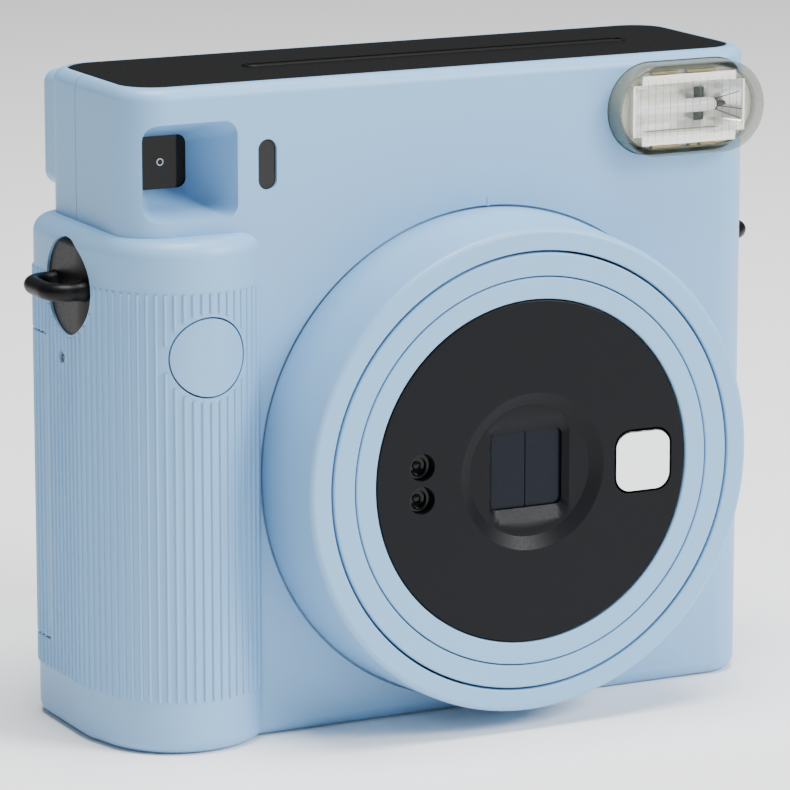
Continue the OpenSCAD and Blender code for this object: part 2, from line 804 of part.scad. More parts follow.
module shutter_housing() {
    // A round can: front lens, aperture, leaf chamber and rear lens, one behind the other
    color("black") difference() {
        union() {
            lens_ring(housing_y, housing_y + 1, 25.5);
            lens_ring(housing_y, housing_y + housing_depth, housing_r);
        }
        lens_ring(housing_y - 1, housing_y + 2.8, 6.5);
        lens_ring(housing_y + 2.7, housing_y + 3.5, 3);
        lens_ring(housing_y + 3.4, housing_y + 6.4, housing_r - 1.4);
        lens_ring(housing_y + 6.3, housing_y + 7.3, 3.4);
        lens_ring(housing_y + 7.2, housing_y + housing_depth + 1, 7.5);
    }
    color("black") for (s = [-1, 1])
        translate([lens_x + s * leaf_pivot[0], housing_y + 3.3, lens_z + leaf_pivot[1]])
            rotate([-90, 0, 0]) cylinder(r = 0.75, h = 3.2);
}

module front_lens() {
    color("lightcyan") lens_ring(housing_y + 0.2, housing_y + 2.6, 6.45);
}

module rear_lens() {
    color("lightcyan") lens_ring(housing_y + 7.4, housing_y + 10.4, 7.45);
}

// A shutter leaf that swings about a pin below and beside the lens
module shutter_blade(side, y) {
    x = leaf_pivot[0];
    z = leaf_pivot[1];
    translate([lens_x, 0, lens_z]) from_front(y, 0.4) mirror([side < 0 ? 1 : 0, 0]) difference() {
        union() {
            translate(leaf_pivot) circle(r = 1.6);
            polygon([[x - 1.6, z], [x + 1.6, z], [4.6, 4.2], [-0.6, 4.2], [-0.6, -3.6]]);
        }
        translate(leaf_pivot) circle(r = 0.85);
    }
}

module shutter_blade_left() {
    color("gray") shutter_blade(-1, housing_y + 3.9);
}

module shutter_blade_right() {
    color("gray") shutter_blade(1, housing_y + 4.9);
}

// ---- pieces that the hand moves ---------------------------------------------------------

module shutter_button() {
    color(blue) {
        intersection() {
            grip_block(0);
            translate([button_x, front_y - 10, button_z])
                rotate([-90, 0, 0]) cylinder(r = button_r - 0.15, h = 10.6);
        }
        translate([button_x, front_y - 4, button_z]) rotate([-90, 0, 0])
            cylinder(r = 1.8, h = button_foot_y - front_y + 4);
    }
}

module back_door() {
    w = door_x[1] - door_x[0];
    h = door_z[1] - door_z[0];
    color(blue) difference() {
        union() {
            translate([door_x[0], back_y - door_t, door_z[0]]) cube([w, door_t, h]);
            for (z = knuckle_z) {
                translate([hinge_x, hinge_y, z[0]]) cylinder(r = knuckle_r, h = z[1] - z[0]);
                translate([door_x[1] - 3, back_y - door_t, z[0]])
                    cube([hinge_x - door_x[1] + 3, 1, z[1] - z[0]]);
            }
        }
        for (z = knuckle_z) translate([hinge_x, hinge_y, z[0] - 1]) cylinder(r = 0.85, h = z[1] - z[0] + 2);
        translate([film_window_at[0], 0, film_window_at[1]]) from_front(back_y - 5, 10)
            rounded(film_window_size, 1.5);
        translate([latch_x, 0, 58]) from_front(back_y - 5, 10) rounded([latch_size[0] + 0.4, 22], 1);
    }
}

module film_window() {
    color("khaki") translate([film_window_at[0], 0, film_window_at[1]])
        from_front(back_y - 1.8, 1.2) rounded(film_window_size - [0.1, 0.1], 1.4);
}

module pressure_springs() {
    color("silver") for (s = [-1, 1])
        translate([lens_x + s * 13 - 4, film_y + pack_t + gap, 30])
            cube([8, back_y - door_t - film_y - pack_t - gap, 50]);
}

module door_latch() {
    color(blue) translate([latch_x, 0, 60]) {
        from_front(back_y - 0.9, 1.6) rounded(latch_size, 0.9);
        translate([0, 0, -2]) from_front(back_y - door_t, 1.2) rounded(latch_size, 0.9);
    }
}

module hinge_pins() {
    color("silver") for (z = knuckle_z) translate([hinge_x, hinge_y, z[0] - 2.2])
        cylinder(r = pin_r, h = z[1] - z[0] + 4.4);
}

module battery_door() {
    color(blue) intersection() {
        skin();
        battery_doorway(0);
    }
}

front_shell();
rear_shell();
grip_cover();
top_plate();
viewfinder_window();
viewfinder_tube();
eyepiece_housing();
eyepiece_lens();
light_sensor_window();
flash_cover();
flash_base();
flash_reflector();
flash_tube();
flash_capacitor();
main_board();
strap_lug_left();
strap_lug_right();
film_chamber();
film_pack();
barrel_guide();
battery_tray();
battery_cells();
battery_contacts();
release_switch();
grip_screw();
counter_window();
roller_bracket();
drive_motor();
hinge_pins();
lens_dial();
dial_retainer();
lens_barrel();
barrel_trim_ring();
front_plate();
selfie_mirror();
sensor_windows();
shutter_housing();
front_lens();
rear_lens();
cover_blade_left();
cover_blade_right();
shutter_blade_left();
shutter_blade_right();
shutter_button();
back_door();
film_window();
pressure_springs();
door_latch();
battery_door();
roller_front();
roller_rear();
motor_pinion();
idler_gear();
film_claw();
counter_dial();
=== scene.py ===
import math

import bmesh
import bpy
from mathutils import Matrix, Vector


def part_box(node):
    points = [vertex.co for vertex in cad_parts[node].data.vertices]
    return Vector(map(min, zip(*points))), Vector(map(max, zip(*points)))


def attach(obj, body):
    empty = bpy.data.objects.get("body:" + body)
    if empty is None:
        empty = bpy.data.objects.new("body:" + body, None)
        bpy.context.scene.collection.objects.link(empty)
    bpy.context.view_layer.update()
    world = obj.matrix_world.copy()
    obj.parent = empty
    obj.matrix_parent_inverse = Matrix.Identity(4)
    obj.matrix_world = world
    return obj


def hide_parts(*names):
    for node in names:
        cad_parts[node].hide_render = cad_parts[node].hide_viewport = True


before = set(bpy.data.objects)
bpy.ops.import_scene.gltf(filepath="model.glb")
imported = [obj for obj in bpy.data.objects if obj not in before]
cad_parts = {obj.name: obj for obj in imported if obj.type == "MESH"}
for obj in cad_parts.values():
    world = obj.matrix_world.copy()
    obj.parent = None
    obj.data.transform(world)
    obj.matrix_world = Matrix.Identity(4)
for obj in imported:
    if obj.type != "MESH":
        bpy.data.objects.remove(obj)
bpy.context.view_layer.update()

# ---- Moulded casing --------------------------
# The front shell, rear shell and grip cover are injection-moulded ABS, 2 mm thick. The
# grip is a round-fronted block that runs into the left of the main block, and the shells
# part round its middle. Sizes are millimetres; only lights and camera are placed in metres.
MM = 0.001
WALL = 2.0
CORNER_R = 8.0
BASE_EDGE_R = 2.5
TOP_EDGE_R = 2.3
SHOULDER_R = 3.2
GRIP_R = 16.0
SEAM_Y = 3.8
GRIP_SEAM_Y = 8.0


def corners(node):
    """Lowest and highest corner of a frame node, in millimetres."""
    low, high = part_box(node)
    return low / MM, high / MM


def middle(node):
    low, high = corners(node)
    return (low + high) / 2


body_low = Vector((corners("grip_cover")[0].x, -corners("rear_shell")[1].y, 0))
body_high = corners("rear_shell")[1]
body_high.z = corners("top_plate")[1].z - 0.3
upper_x = corners("top_plate")[0].x - TOP_EDGE_R
front_y, back_y = body_low.y, body_high.y
side_x, top_z = body_high.x, body_high.z
shoulder_z = corners("grip_cover")[1].z
lens = middle("lens_dial")
grip_front = Vector((upper_x + 12.7, front_y + 10.4))
grip_side = Vector((body_low.x + GRIP_R, front_y + 15))
grip_seam_x = grip_front.x + math.sqrt(GRIP_R ** 2 - (grip_front.y - front_y) ** 2)


def mesh_piece(name, points, faces):
    """A mesh object from points in millimetres, with its faces turned outwards."""
    mesh = bpy.data.meshes.new(name)
    mesh.from_pydata([Vector(p) * MM for p in points], [], faces)
    work = bmesh.new()
    work.from_mesh(mesh)
    bmesh.ops.recalc_face_normals(work, faces=work.faces)
    work.to_mesh(mesh)
    work.free()
    obj = bpy.data.objects.new(name, mesh)
    bpy.context.scene.collection.objects.link(obj)
    return obj


def loft(name, rings, ends=True):
    """Joins rings of points one after the other; without ends, the last ring joins the first."""
    count = len(rings[0])
    points = [p for ring in rings for p in ring]
    faces = []
    last = len(rings) - 1 if ends else len(rings)
    for i in range(last):
        a, b = i * count, (i + 1) % len(rings) * count
        for k in range(count):
            n = (k + 1) % count
            faces.append((a + k, a + n, b + n, b + k))
    if ends:
        faces.append(tuple(range(count)))
        faces.append(tuple(range(last * count, last * count + count)))
    return mesh_piece(name, points, faces)


def arc(centre, r, start, end, steps):
    """Points along an arc, its angles in degrees."""
    angles = [math.radians(start + (end - start) * i / steps) for i in range(steps + 1)]
    return [(centre[0] + r * math.cos(a), centre[1] + r * math.sin(a)) for a in angles]


def main_outline(inset):
    r = CORNER_R - inset
    x0, x1 = upper_x + CORNER_R, side_x - CORNER_R
    y0, y1 = front_y + CORNER_R, back_y - CORNER_R
    return (arc((x0, y0), r, 180, 270, 20) + arc((x1, y0), r, 270, 360, 20)
            + arc((x1, y1), r, 0, 90, 20) + arc((x0, y1), r, 90, 180, 20))


def grip_outline(inset):
    rear_left = (body_low.x + CORNER_R, back_y - CORNER_R)
    rear_right = (upper_x + 16.9, back_y - CORNER_R)
    # Angles at which the tangents between neighbouring arcs touch them
    step = grip_side - grip_front
    side_angle = math.degrees(math.atan2(step.y, step.x)) + 90
    across = Vector(rear_right) - grip_front
    lean = math.degrees(math.acos((GRIP_R - CORNER_R) / across.length))
    right_angle = math.degrees(math.atan2(across.y, across.x)) - lean
    return (arc(grip_front, GRIP_R - inset, side_angle - 360, right_angle, 64)
            + arc(rear_right, CORNER_R - inset, right_angle, 90, 12)
            + arc(rear_left, CORNER_R - inset, 90, 180, 20)
            + arc(grip_side, GRIP_R - inset, 180, side_angle, 6))


def upright_block(name, outline, inset, z1, r_base, r_top, steps=10):
    """A block with its plan outline and with rounded base and top edges."""
    rings = []
    for i in range(steps + 1):
        a = math.pi / 2 * i / steps
        shrink = inset + r_base * (1 - math.sin(a))
        rings.append([(x, y, inset + r_base * (1 - math.cos(a))) for x, y in outline(shrink)])
    for i in range(steps, -1, -1):
        a = math.pi / 2 * i / steps
        shrink = inset + r_top * (1 - math.sin(a))
        rings.append([(x, y, z1 - inset - r_top * (1 - math.cos(a))) for x, y in outline(shrink)])
    return loft(name, rings)


def cut(target, *tools, operation="DIFFERENCE"):
    """Cuts tools out of target, or joins or intersects them, and removes the tools."""
    for tool in tools:
        modifier = target.modifiers.new(operation, "BOOLEAN")
        modifier.operation = operation
        modifier.solver = "EXACT"
        modifier.object = tool
        graph = bpy.context.evaluated_depsgraph_get()
        made = bpy.data.meshes.new_from_object(target.evaluated_get(graph))
        target.modifiers.clear()
        target.data = made
        bpy.data.objects.remove(tool)
    return target


def copy_of(obj, name):
    twin = bpy.data.objects.new(name, obj.data.copy())
    bpy.context.scene.collection.objects.link(twin)
    return twin


def box_tool(low, high):
    points = [(x, y, z) for x in (low[0], high[0]) for y in (low[1], high[1]) for z in (low[2], high[2])]
    faces = [(0, 1, 3, 2), (4, 6, 7, 5), (0, 4, 5, 1), (2, 3, 7, 6), (0, 2, 6, 4), (1, 5, 7, 3)]
    return mesh_piece("tool", points, faces)


def along_y(outline, y):
    return [(x, y, z) for x, z in outline]


def round_tool(x, z, r, y0, y1):
    """A round bar along Y."""
    ring = arc((x, z), r, 0, 357, 119)
    return loft("tool", [along_y(ring, y) for y in (y0, y1)])


def side_tool(y, z, r, x0, x1):
    """A round bar along X."""
    ring = arc((y, z), r, 0, 356.25, 95)
    return loft("tool", [[(x, p, q) for p, q in ring] for x in (x0, x1)])


def rounded_outline(x, z, w, h, r, steps=10):
    """A rounded rectangle centred at x, z."""
    a, b = w / 2 - r, h / 2 - r
    return (arc((x + a, z + b), r, 0, 90, steps) + arc((x - a, z + b), r, 90, 180, steps)
            + arc((x - a, z - b), r, 180, 270, steps) + arc((x + a, z - b), r, 270, 360, steps))


def soften(obj, width, angle=38, segments=2):
    """Rounds the hard edges by width, and lets flat faces keep flat shading beside them."""
    obj.data.shade_smooth()
    if width:
        bevel = obj.modifiers.new("edge", "BEVEL")
        bevel.width = width * MM
        bevel.segments = segments
        bevel.limit_method = "ANGLE"
        bevel.angle_limit = math.radians(angle)
        bevel.miter_outer = "MITER_ARC"
        bevel.harden_normals = False
    else:
        obj.data.set_sharp_from_angle(angle=math.radians(angle))
    weights = obj.modifiers.new("shading", "WEIGHTED_NORMAL")
    weights.keep_sharp = True
    weights.weight = 60
    return obj


def linear(code):
    """An sRGB hex colour as linear RGBA."""
    parts = [int(code[i:i + 2], 16) / 255 for i in (1, 3, 5)]
    return tuple(c / 12.92 if c <= 0.04045 else ((c + 0.055) / 1.055) ** 2.4 for c in parts) + (1.0,)


def add_node(tree, kind, inputs=None, **settings):
    """Adds a node with its settings; an input is a value or the socket that feeds it."""
    made = tree.nodes.new(kind)
    for name, value in settings.items():
        setattr(made, name, value)
    for name, value in (inputs or {}).items():
        if isinstance(value, bpy.types.NodeSocket):
            tree.links.new(value, made.inputs[name])
        else:
            made.inputs[name].default_value = value
    return made


def new_material(name, colour=None, **constants):
    """A material, its tree and its surface shader, with constants set on the shader's sockets."""
    made = bpy.data.materials.new(name)
    made.use_nodes = True
    surface = made.node_tree.nodes["Principled BSDF"]
    if colour:
        surface.inputs["Base Color"].default_value = linear(colour)
    for socket, value in constants.items():
        surface.inputs[socket.replace("_", " ")].default_value = value
    return made, made.node_tree, surface


def moulded_plastic(name, colour, shade, roughness, grain, depth, reflectance=0.5):
    """A moulded plastic: eroded mould grain in its surface, and faint drifts of colour and gloss."""
    made, tree, surface = new_material(name, IOR=1.54, Specular_IOR_Level=reflectance)
    place = add_node(tree, "ShaderNodeTexCoord").outputs["Object"]
    drift = add_node(tree, "ShaderNodeTexNoise", {"Vector": place, "Scale": 1 / (35 * MM), "Detail": 3.0})
    fine = add_node(tree, "ShaderNodeTexNoise", {"Vector": place, "Scale": 1 / (grain * MM), "Detail": 2.0})
    mix = add_node(tree, "ShaderNodeMix", {"Factor": drift.outputs["Fac"]}, data_type="RGBA")
    mix.inputs["A"].default_value = linear(colour)
    mix.inputs["B"].default_value = linear(shade)
    gloss = add_node(tree, "ShaderNodeMapRange", {"Value": fine.outputs["Fac"], "From Min": 0.3,
                     "From Max": 0.7, "To Min": roughness - 0.05, "To Max": roughness + 0.06})
    bump = add_node(tree, "ShaderNodeBump", {"Height": fine.outputs["Fac"], "Distance": depth * MM,
                    "Strength": 0.6})
    tree.links.new(mix.outputs["Result"], surface.inputs["Base Color"])
    tree.links.new(gloss.outputs["Result"], surface.inputs["Roughness"])
    tree.links.new(bump.outputs["Normal"], surface.inputs["Normal"])
    return made


# Pale blue ABS from a spark-eroded mould: a soft, broad sheen. The grain is 0.35 mm wide,
# a little coarser than the real one so that it shows.
blue_abs = moulded_plastic("abs_pale_blue", "#84b0d6", "#80add4", 0.42, 0.35, 0.01, 0.4)


def dress(obj, material, body, slot_name, *nodes):
    """Gives a piece its material and its body, and hides the frame's nodes that it stands for. Its finish,
    slot_name, is not used.
    """
    obj.data.materials.clear()
    obj.data.materials.append(material)
    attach(obj, body)
    if nodes:
        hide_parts(*nodes)
    return obj


def casing_block(inset):
    """The whole camera as one solid: the main block and the grip."""
    base_r = BASE_EDGE_R - inset / 2
    block = upright_block("casing", main_outline, inset, top_z, base_r, TOP_EDGE_R - inset / 2)
    grip = upright_block("grip", grip_outline, inset, shoulder_z, base_r, SHOULDER_R - inset / 2)
    return cut(block, grip, operation="UNION")


lug_y, lug_z = middle("strap_lug_left").y, middle("strap_lug_left").z
lug_r = (corners("strap_lug_left")[1].z - corners("strap_lug_left")[0].z) / 2
lug_inner_x = corners("strap_lug_right")[0].x

skin = casing_block(0)
hollow = casing_block(WALL)
cut(hollow, side_tool(lug_y, lug_z, lug_r + 1.25, -80, -lug_inner_x),
    side_tool(lug_y, lug_z, lug_r + 1.25, lug_inner_x, 80))
cut(skin, hollow)


def grip_side_box():
    """The corner of the camera that the grip cover closes."""
    return box_tool((-80, -40, -1), (grip_seam_x, GRIP_SEAM_Y, shoulder_z + 0.02))


PLATE_CORNER_R = 6.5


def top_outline(clear):
    """The top plate's outline, grown by clear."""
    x0, x1 = corners("top_plate")[0].x, corners("top_plate")[1].x
    y0, y1 = corners("top_plate")[0].y, corners("top_plate")[1].y
    return rounded_outline((x0 + x1) / 2, (y0 + y1) / 2, x1 - x0 + 2 * clear, y1 - y0 + 2 * clear,
                           PLATE_CORNER_R)


plate_under_z = corners("top_plate")[0].z


def top_tool():
    return loft("tool", [[(x, y, z) for x, y in top_outline(0.12)] for z in (plate_under_z, top_z + 5)])


exit_x, exit_y, exit_w, exit_d = lens.x, 0.3, 76.5, 2.6


def exit_tool():
    outline = rounded_outline(exit_x, exit_y, exit_w, exit_d, 1.2)
    return loft("tool", [[(x, y, z) for x, y in outline] for z in (top_z - 4, top_z + 5)])


# The finder's mouth is a funnel with rounded corners, and its window lies at the deep end
finder = middle("viewfinder_window")
finder_back_y = corners("viewfinder_window")[0].y - 0.15
MOUTH_W, MOUTH_H, MOUTH_R = 18.1, 17.4, 2.6
NECK_W, NECK_H, NECK_R = 9.7, 9.5, 1.6
# How far the cutting tool runs out past the mouth, as a share of the funnel and in millimetres
LEAD_SHARE, LEAD_Y = 0.12, 1.56


def finder_funnel(grow, front):
    """The funnel's inside, grown by grow; with front, it runs out through the face."""
    mouth = rounded_outline(finder.x, finder.z, MOUTH_W + 2 * grow, MOUTH_H + 2 * grow, MOUTH_R + grow)
    neck = rounded_outline(finder.x, finder.z, NECK_W + 2 * grow, NECK_H + 2 * grow, NECK_R + grow)
    lead = [(m[0] + (m[0] - n[0]) * LEAD_SHARE, m[1] + (m[1] - n[1]) * LEAD_SHARE)
            for m, n in zip(mouth, neck)]
    rings = [along_y(lead, front_y - LEAD_Y)] if front else []
    return loft("tool", rings + [along_y(mouth, front_y), along_y(neck, finder_back_y)])


DIAL_BASE_R = (corners("lens_dial")[1].x - corners("lens_dial")[0].x) / 2
front_shell = cut(copy_of(skin, "front_shell_moulding"), box_tool((-80, SEAM_Y - 0.12, -5), (80, 60, 130)),
                  grip_side_box())
funnel_wall = cut(finder_funnel(1.2, False), upright_block("inner", main_outline, 1.2, top_z, 2, 2),
                  operation="INTERSECT")
cut(front_shell, funnel_wall, operation="UNION")
sensor = middle("light_sensor_window")
flash = middle("flash_cover")
flash_w = corners("flash_cover")[1].x - corners("flash_cover")[0].x
flash_h = corners("flash_cover")[1].z - corners("flash_cover")[0].z
flash_back_y = corners("flash_cover")[1].y


def stadium_block(x, z, w, h, y0, y1):
    ring = rounded_outline(x, z, w, h, min(w, h) / 2 - 0.001, 24)
    return loft("tool", [along_y(ring, y0), along_y(ring, y1)])


cut(front_shell, finder_funnel(0, True), top_tool(), exit_tool(),
    round_tool(lens.x, lens.z, 42.4, front_y - 2, front_y + WALL + 2),
    round_tool(lens.x, lens.z, DIAL_BASE_R + 0.4, front_y - 2, front_y + 0.8),
    stadium_block(sensor.x, sensor.z, 3.6, 9, front_y - 1, front_y + 3),
    stadium_block(flash.x, flash.z, flash_w + 0.3, flash_h + 0.3, front_y - 1, flash_back_y + 0.2),
    side_tool(lug_y, lug_z, lug_r + 0.1, 50, 80))
soften(front_shell, 0.22)
dress(front_shell, blue_abs, "body", "blue_plastic", "front_shell")

# The rear shell holds the doorways of the film and of the batteries. The frame's shell also
# has ears for the hinge's pins and an opening behind the eyepiece, which this one lacks.
door_low, door_high = corners("back_door")
door_x1 = 59.9
hinge_x, hinge_y = middle("hinge_pins").x, middle("hinge_pins").y
battery_low, battery_high = corners("battery_door")
chamber_low, chamber_high = corners("film_chamber")
counter = middle("counter_window")
counter_r = (corners("counter_window")[1].x - corners("counter_window")[0].x) / 2
rear_shell = cut(copy_of(skin, "rear_shell_moulding"), box_tool((-80, -60, -5), (80, SEAM_Y + 0.12, 130)))
cut(rear_shell, box_tool((door_low.x - 3, back_y - 4.2, 1.8), (61.3, back_y - 2.2, 114)), operation="UNION")
cut(rear_shell, grip_side_box(), top_tool(), exit_tool(),
    box_tool((door_low.x - 0.3, back_y - 2.2, door_low.z - 0.3), (door_x1 + 0.3, 40, door_high.z + 0.3)),
    box_tool((chamber_low.x - 0.2, 0.1, chamber_low.z - 0.2), (chamber_high.x + 0.2, 40, 102.8)),
    box_tool((hinge_x - 3.6, hinge_y - 0.75, door_low.z - 0.3), (80, 40, door_high.z + 0.3)),
    box_tool((-80, battery_low.y - 0.3, battery_low.z - 0.3),
             (battery_high.x + 0.3, 40, battery_high.z + 0.3)),
    side_tool(lug_y, lug_z, lug_r + 0.1, 50, 80),
    round_tool(counter.x, counter.z, counter_r + 0.05, back_y - 5, back_y + 5))
# Round reliefs clear the door's two knuckles
KNUCKLE_R, KNUCKLE_SPANS = 1.8, ((12, 24), (92, 104))


def hinge_bar(r, low, high):
    """A round bar up the hinge's axis."""
    ring = arc((hinge_x, hinge_y), r, 0, 355, 71)
    return loft("tool", [[(x, y, z) for x, y in ring] for z in (low, high)])


for low, high in KNUCKLE_SPANS:
    cut(rear_shell, hinge_bar(KNUCKLE_R + 0.3, low - 0.3, high + 0.3))
soften(rear_shell, 0.22)
dress(rear_shell, blue_abs, "body", "blue_plastic", "rear_shell")

# The grip cover is one curved shell with openings for the button, the lug and a screw
button = middle("shutter_button")
button_r = 6.95
screw = middle("grip_screw")
grip_cover = cut(copy_of(skin, "grip_cover_moulding"), grip_side_box(), operation="INTERSECT")
cut(grip_cover, round_tool(button.x, button.z, button_r + 0.3, -40, -8),
    side_tool(lug_y, lug_z, lug_r + 0.1, -80, -50), side_tool(screw.y, screw.z, 1.3, -80, -50))
soften(grip_cover, 0.12)
dress(grip_cover, blue_abs, "body", "blue_plastic", "grip_cover")

# The battery cover wraps the grip's rear corner
battery_cover = cut(copy_of(skin, "battery_cover_moulding"),
                    box_tool((-80, battery_low.y, battery_low.z), (battery_high.x, 40, battery_high.z)),
                    operation="INTERSECT")
soften(battery_cover, 0.15)
dress(battery_cover, blue_abs, "battery_cover", "blue_plastic", "battery_door")
bpy.data.objects.remove(skin)

# A short raised tick above the dial shows where its marks are read
tick = loft("dial_index_tick", [[(x, y, z) for x, y in rounded_outline(lens.x, front_y + 0.1, w, w, w * 0.4)]
                                for w, z in ((0.2, 93.2), (0.5, 93.35), (0.5, 95.05), (0.2, 95.2))])
soften(tick, 0)
dress(tick, blue_abs, "body", "blue_plastic")

# ---- Grip ribs -------------------------------
# Narrow half-round ridges moulded on the grip cover and on the battery cover, with round
# ends. They stop short of the button, of the lug's disc and of the screw.
RIB_PITCH = 1.65
RIB_WIDTH = 0.6
RIB_HEIGHT = 0.42
RIB_FOOT_Z, RIB_HEAD_Z = 9.9, 83.2


def grip_path():
    """Points and outward directions along the grip, from the front seam to the rear corner."""
    outline = grip_outline(0)
    run = [Vector(p) for p in outline[:65]
           if p[0] < grip_front.x or (p[0] < grip_seam_x - 0.5 and p[1] <= front_y)]
    run.reverse()
    side = [Vector(p) for p in outline[65 + 13:]]
    side.reverse()
    return run + side


def even_stations(points, pitch):
    """Places at an even pitch along a run of points, each with its outward direction."""
    made, walked, due = [], 0.0, pitch * 0.6
    for a, b in zip(points, points[1:]):
        span = (b - a).length
        while span > 1e-6 and due <= walked + span:
            along = (b - a) / span
            made.append((a + along * (due - walked), Vector((along.y, -along.x)) * -1))
            due += pitch
        walked += span
    return made


def rib(points, faces, at, out, z0, z1):
    """One rib: a half-round bar up Z, its ends quarter-rounded."""
    side = Vector((-out.y, out.x))
    half = RIB_WIDTH / 2
    rings = []
    for z, end in ((z0, -1), (z1, 1)):
        for i in (range(5) if end < 0 else range(4, -1, -1)):
            a = math.pi / 2 * i / 4
            rings.append((z - end * RIB_HEIGHT * (1 - math.sin(a)), max(0.12, math.cos(math.pi / 2 - a))))
    start = len(points)
    steps = 8
    for z, scale in rings:
        for k in range(steps + 1):
            a = math.pi * k / steps
            p = at + side * (half * scale * math.cos(a)) + out * (RIB_HEIGHT * scale * math.sin(a) - 0.05)
            points.append((p.x, p.y, z))
    count = steps + 1
    for i in range(len(rings) - 1):
        for k in range(count):
            n = (k + 1) % count
            faces.append((start + i * count + k, start + i * count + n,
                          start + (i + 1) * count + n, start + (i + 1) * count + k))
    faces.append(tuple(start + k for k in range(count)))
    faces.append(tuple(start + (len(rings) - 1) * count + k for k in range(count)))


def spans_clear_of(spans, low, high):
    """Takes the stretch from low to high out of a list of stretches."""
    made = []
    for a, b in spans:
        if high <= a or low >= b:
            made.append((a, b))
            continue
        if low - a > 1.2:
            made.append((a, low))
        if b - high > 1.2:
            made.append((high, b))
    return made


def rib_spans(at):
    """Where one rib runs, up Z, round the button, the lug and the screw."""
    spans = [(RIB_FOOT_Z, RIB_HEAD_Z)]
    rings = []
    if at.y < -12:
        rings.append((button.x, button.z, button_r + 1.1, at.x))
    if at.x < -58:
        rings.append((lug_y, lug_z, lug_r + 0.5, at.y))
        rings.append((screw.y, screw.z, 1.4, at.y))
    for c, z, r, here in rings:
        reach = r * r - (here - c) ** 2
        if reach > 0:
            spans = spans_clear_of(spans, z - math.sqrt(reach), z + math.sqrt(reach))
    return spans


ribs_fixed, ribs_cover = ([], []), ([], [])
for at, out in even_stations(grip_path(), RIB_PITCH):
    for z0, z1 in rib_spans(at):
        if at.y < battery_low.y - 0.6:
            rib(*ribs_fixed, at, out, z0, z1)
            continue
        # Over the battery cover a rib is cut in three at the cover's edges
        for low, high, group in ((z0, battery_low.z - 0.3, ribs_fixed),
                                 (max(z0, battery_low.z), min(z1, battery_high.z), ribs_cover),
                                 (battery_high.z + 0.3, z1, ribs_fixed)):
            # A rib that would bridge the gap beside the cover is left off the cover
            bridges = group is ribs_cover and at.y < battery_low.y + RIB_WIDTH / 2
            if high - low > 1.2 and not bridges:
                rib(*group, at, out, low, high)
for name, group, body in (("grip_ribs", ribs_fixed, "body"),
                          ("battery_cover_ribs", ribs_cover, "battery_cover")):
    ribs = mesh_piece(name, *group)
    ribs.data.shade_smooth()
    ribs.data.set_sharp_from_angle(angle=math.radians(70))
    dress(ribs, blue_abs, body, "blue_plastic")

# ---- Shutter button --------------------------
# A round ABS key that is flush with the grip and follows its curve, in a thin dark gap.
button_piece = cut(upright_block("shutter_key", grip_outline, 0, shoulder_z, BASE_EDGE_R, SHOULDER_R),
                   round_tool(button.x, button.z, button_r, -40, front_y + 0.6), operation="INTERSECT")
cut(button_piece, round_tool(button.x, button.z, 1.8, front_y - 2, corners("shutter_button")[1].y),
    operation="UNION")
soften(button_piece, 0.22)
dress(button_piece, blue_abs, "button", "blue_plastic", "shutter_button")

# ---- Top plate -------------------------------
# A black matte ABS plate let into the top, with the film's exit slot across it and a
# fine raised lip along both sides of the slot.
black_abs = moulded_plastic("abs_black_matt", "#060607", "#080809", 0.55, 0.4, 0.02, 0.12)
top_rings = [[(x, y, z) for x, y in top_outline(-edge)] for z, edge in
             ((plate_under_z, 0), (top_z - 0.25, 0), (top_z - 0.07, 0.07), (top_z, 0.25))]
top_plate = cut(loft("top_plate_moulding", top_rings), exit_tool())
soften(top_plate, 0.12)
dress(top_plate, black_abs, "body", "black_plastic", "top_plate")


def slot_ring(grow):
    return rounded_outline(exit_x, exit_y, exit_w + 2 * grow, exit_d + 2 * grow, exit_d / 2 + grow - 0.1)


lip_shape = [(0.05, -0.6), (0.05, 0.22), (0.25, 0.34), (0.6, 0.34), (0.85, 0.1), (0.9, -0.3)]
lip_rings = [[(x, y, top_z + up) for x, y in slot_ring(grow)] for grow, up in lip_shape]
lip = loft("film_exit_lip", lip_rings, ends=False)
soften(lip, 0)
dress(lip, black_abs, "body", "black_plastic")

# ---- Viewfinder ------------------------------
# A dark glossy window at the funnel's deep end, a black tube behind it, and an
# acrylic eyepiece in a raised housing at the back. A white aiming ring floats in it.
gloss_black = new_material("acrylic_smoked", "#060709", Roughness=0.05, IOR=1.49, Specular_IOR_Level=0.2)[0]


def lathed(name, profile, centre, steps=180):
    """Turns a closed profile of (radius, y) round an axis along Y."""
    rings = []
    for i in range(steps):
        a = 2 * math.pi * i / steps
        rings.append([(centre.x + r * math.cos(a), y, centre.z + r * math.sin(a)) for r, y in profile])
    return loft(name, rings, ends=False)


def dome(name, centre, r, y, rise, steps=64, rings=7):
    """A lens or cap: a shallow dome that faces the front, with a flat back."""
    profile = [(0.02, y - rise)]
    for i in range(1, rings + 1):
        a = math.pi / 2 * i / rings
        profile.append((r * math.sin(a), y - rise * math.cos(a)))
    profile += [(r, y + 0.5), (0.02, y + 0.5)]
    return lathed(name, profile, centre, steps)


window_y = corners("viewfinder_window")[0].y
window_steps = ((0.35, window_y), (0.1, window_y + 0.12), (0, window_y + 0.35), (0, window_y + 1))
window = loft("finder_window", [along_y(rounded_outline(finder.x, finder.z, 11.2 - 2 * i, 11 - 2 * i, 1.8), y)
                                for i, y in window_steps])
soften(window, 0)
dress(window, gloss_black, "body", "dark_glass", "viewfinder_window")

ring_white = new_material("print_white", "#e8e8e6", Roughness=0.4)[0]
aim = lathed("finder_aiming_ring", [(0.48, window_y - 0.04), (0.66, window_y - 0.04), (0.66, window_y + 0.1),
                                    (0.48, window_y + 0.1)], finder, 48)
dress(aim, ring_white, "body", "white_plastic")

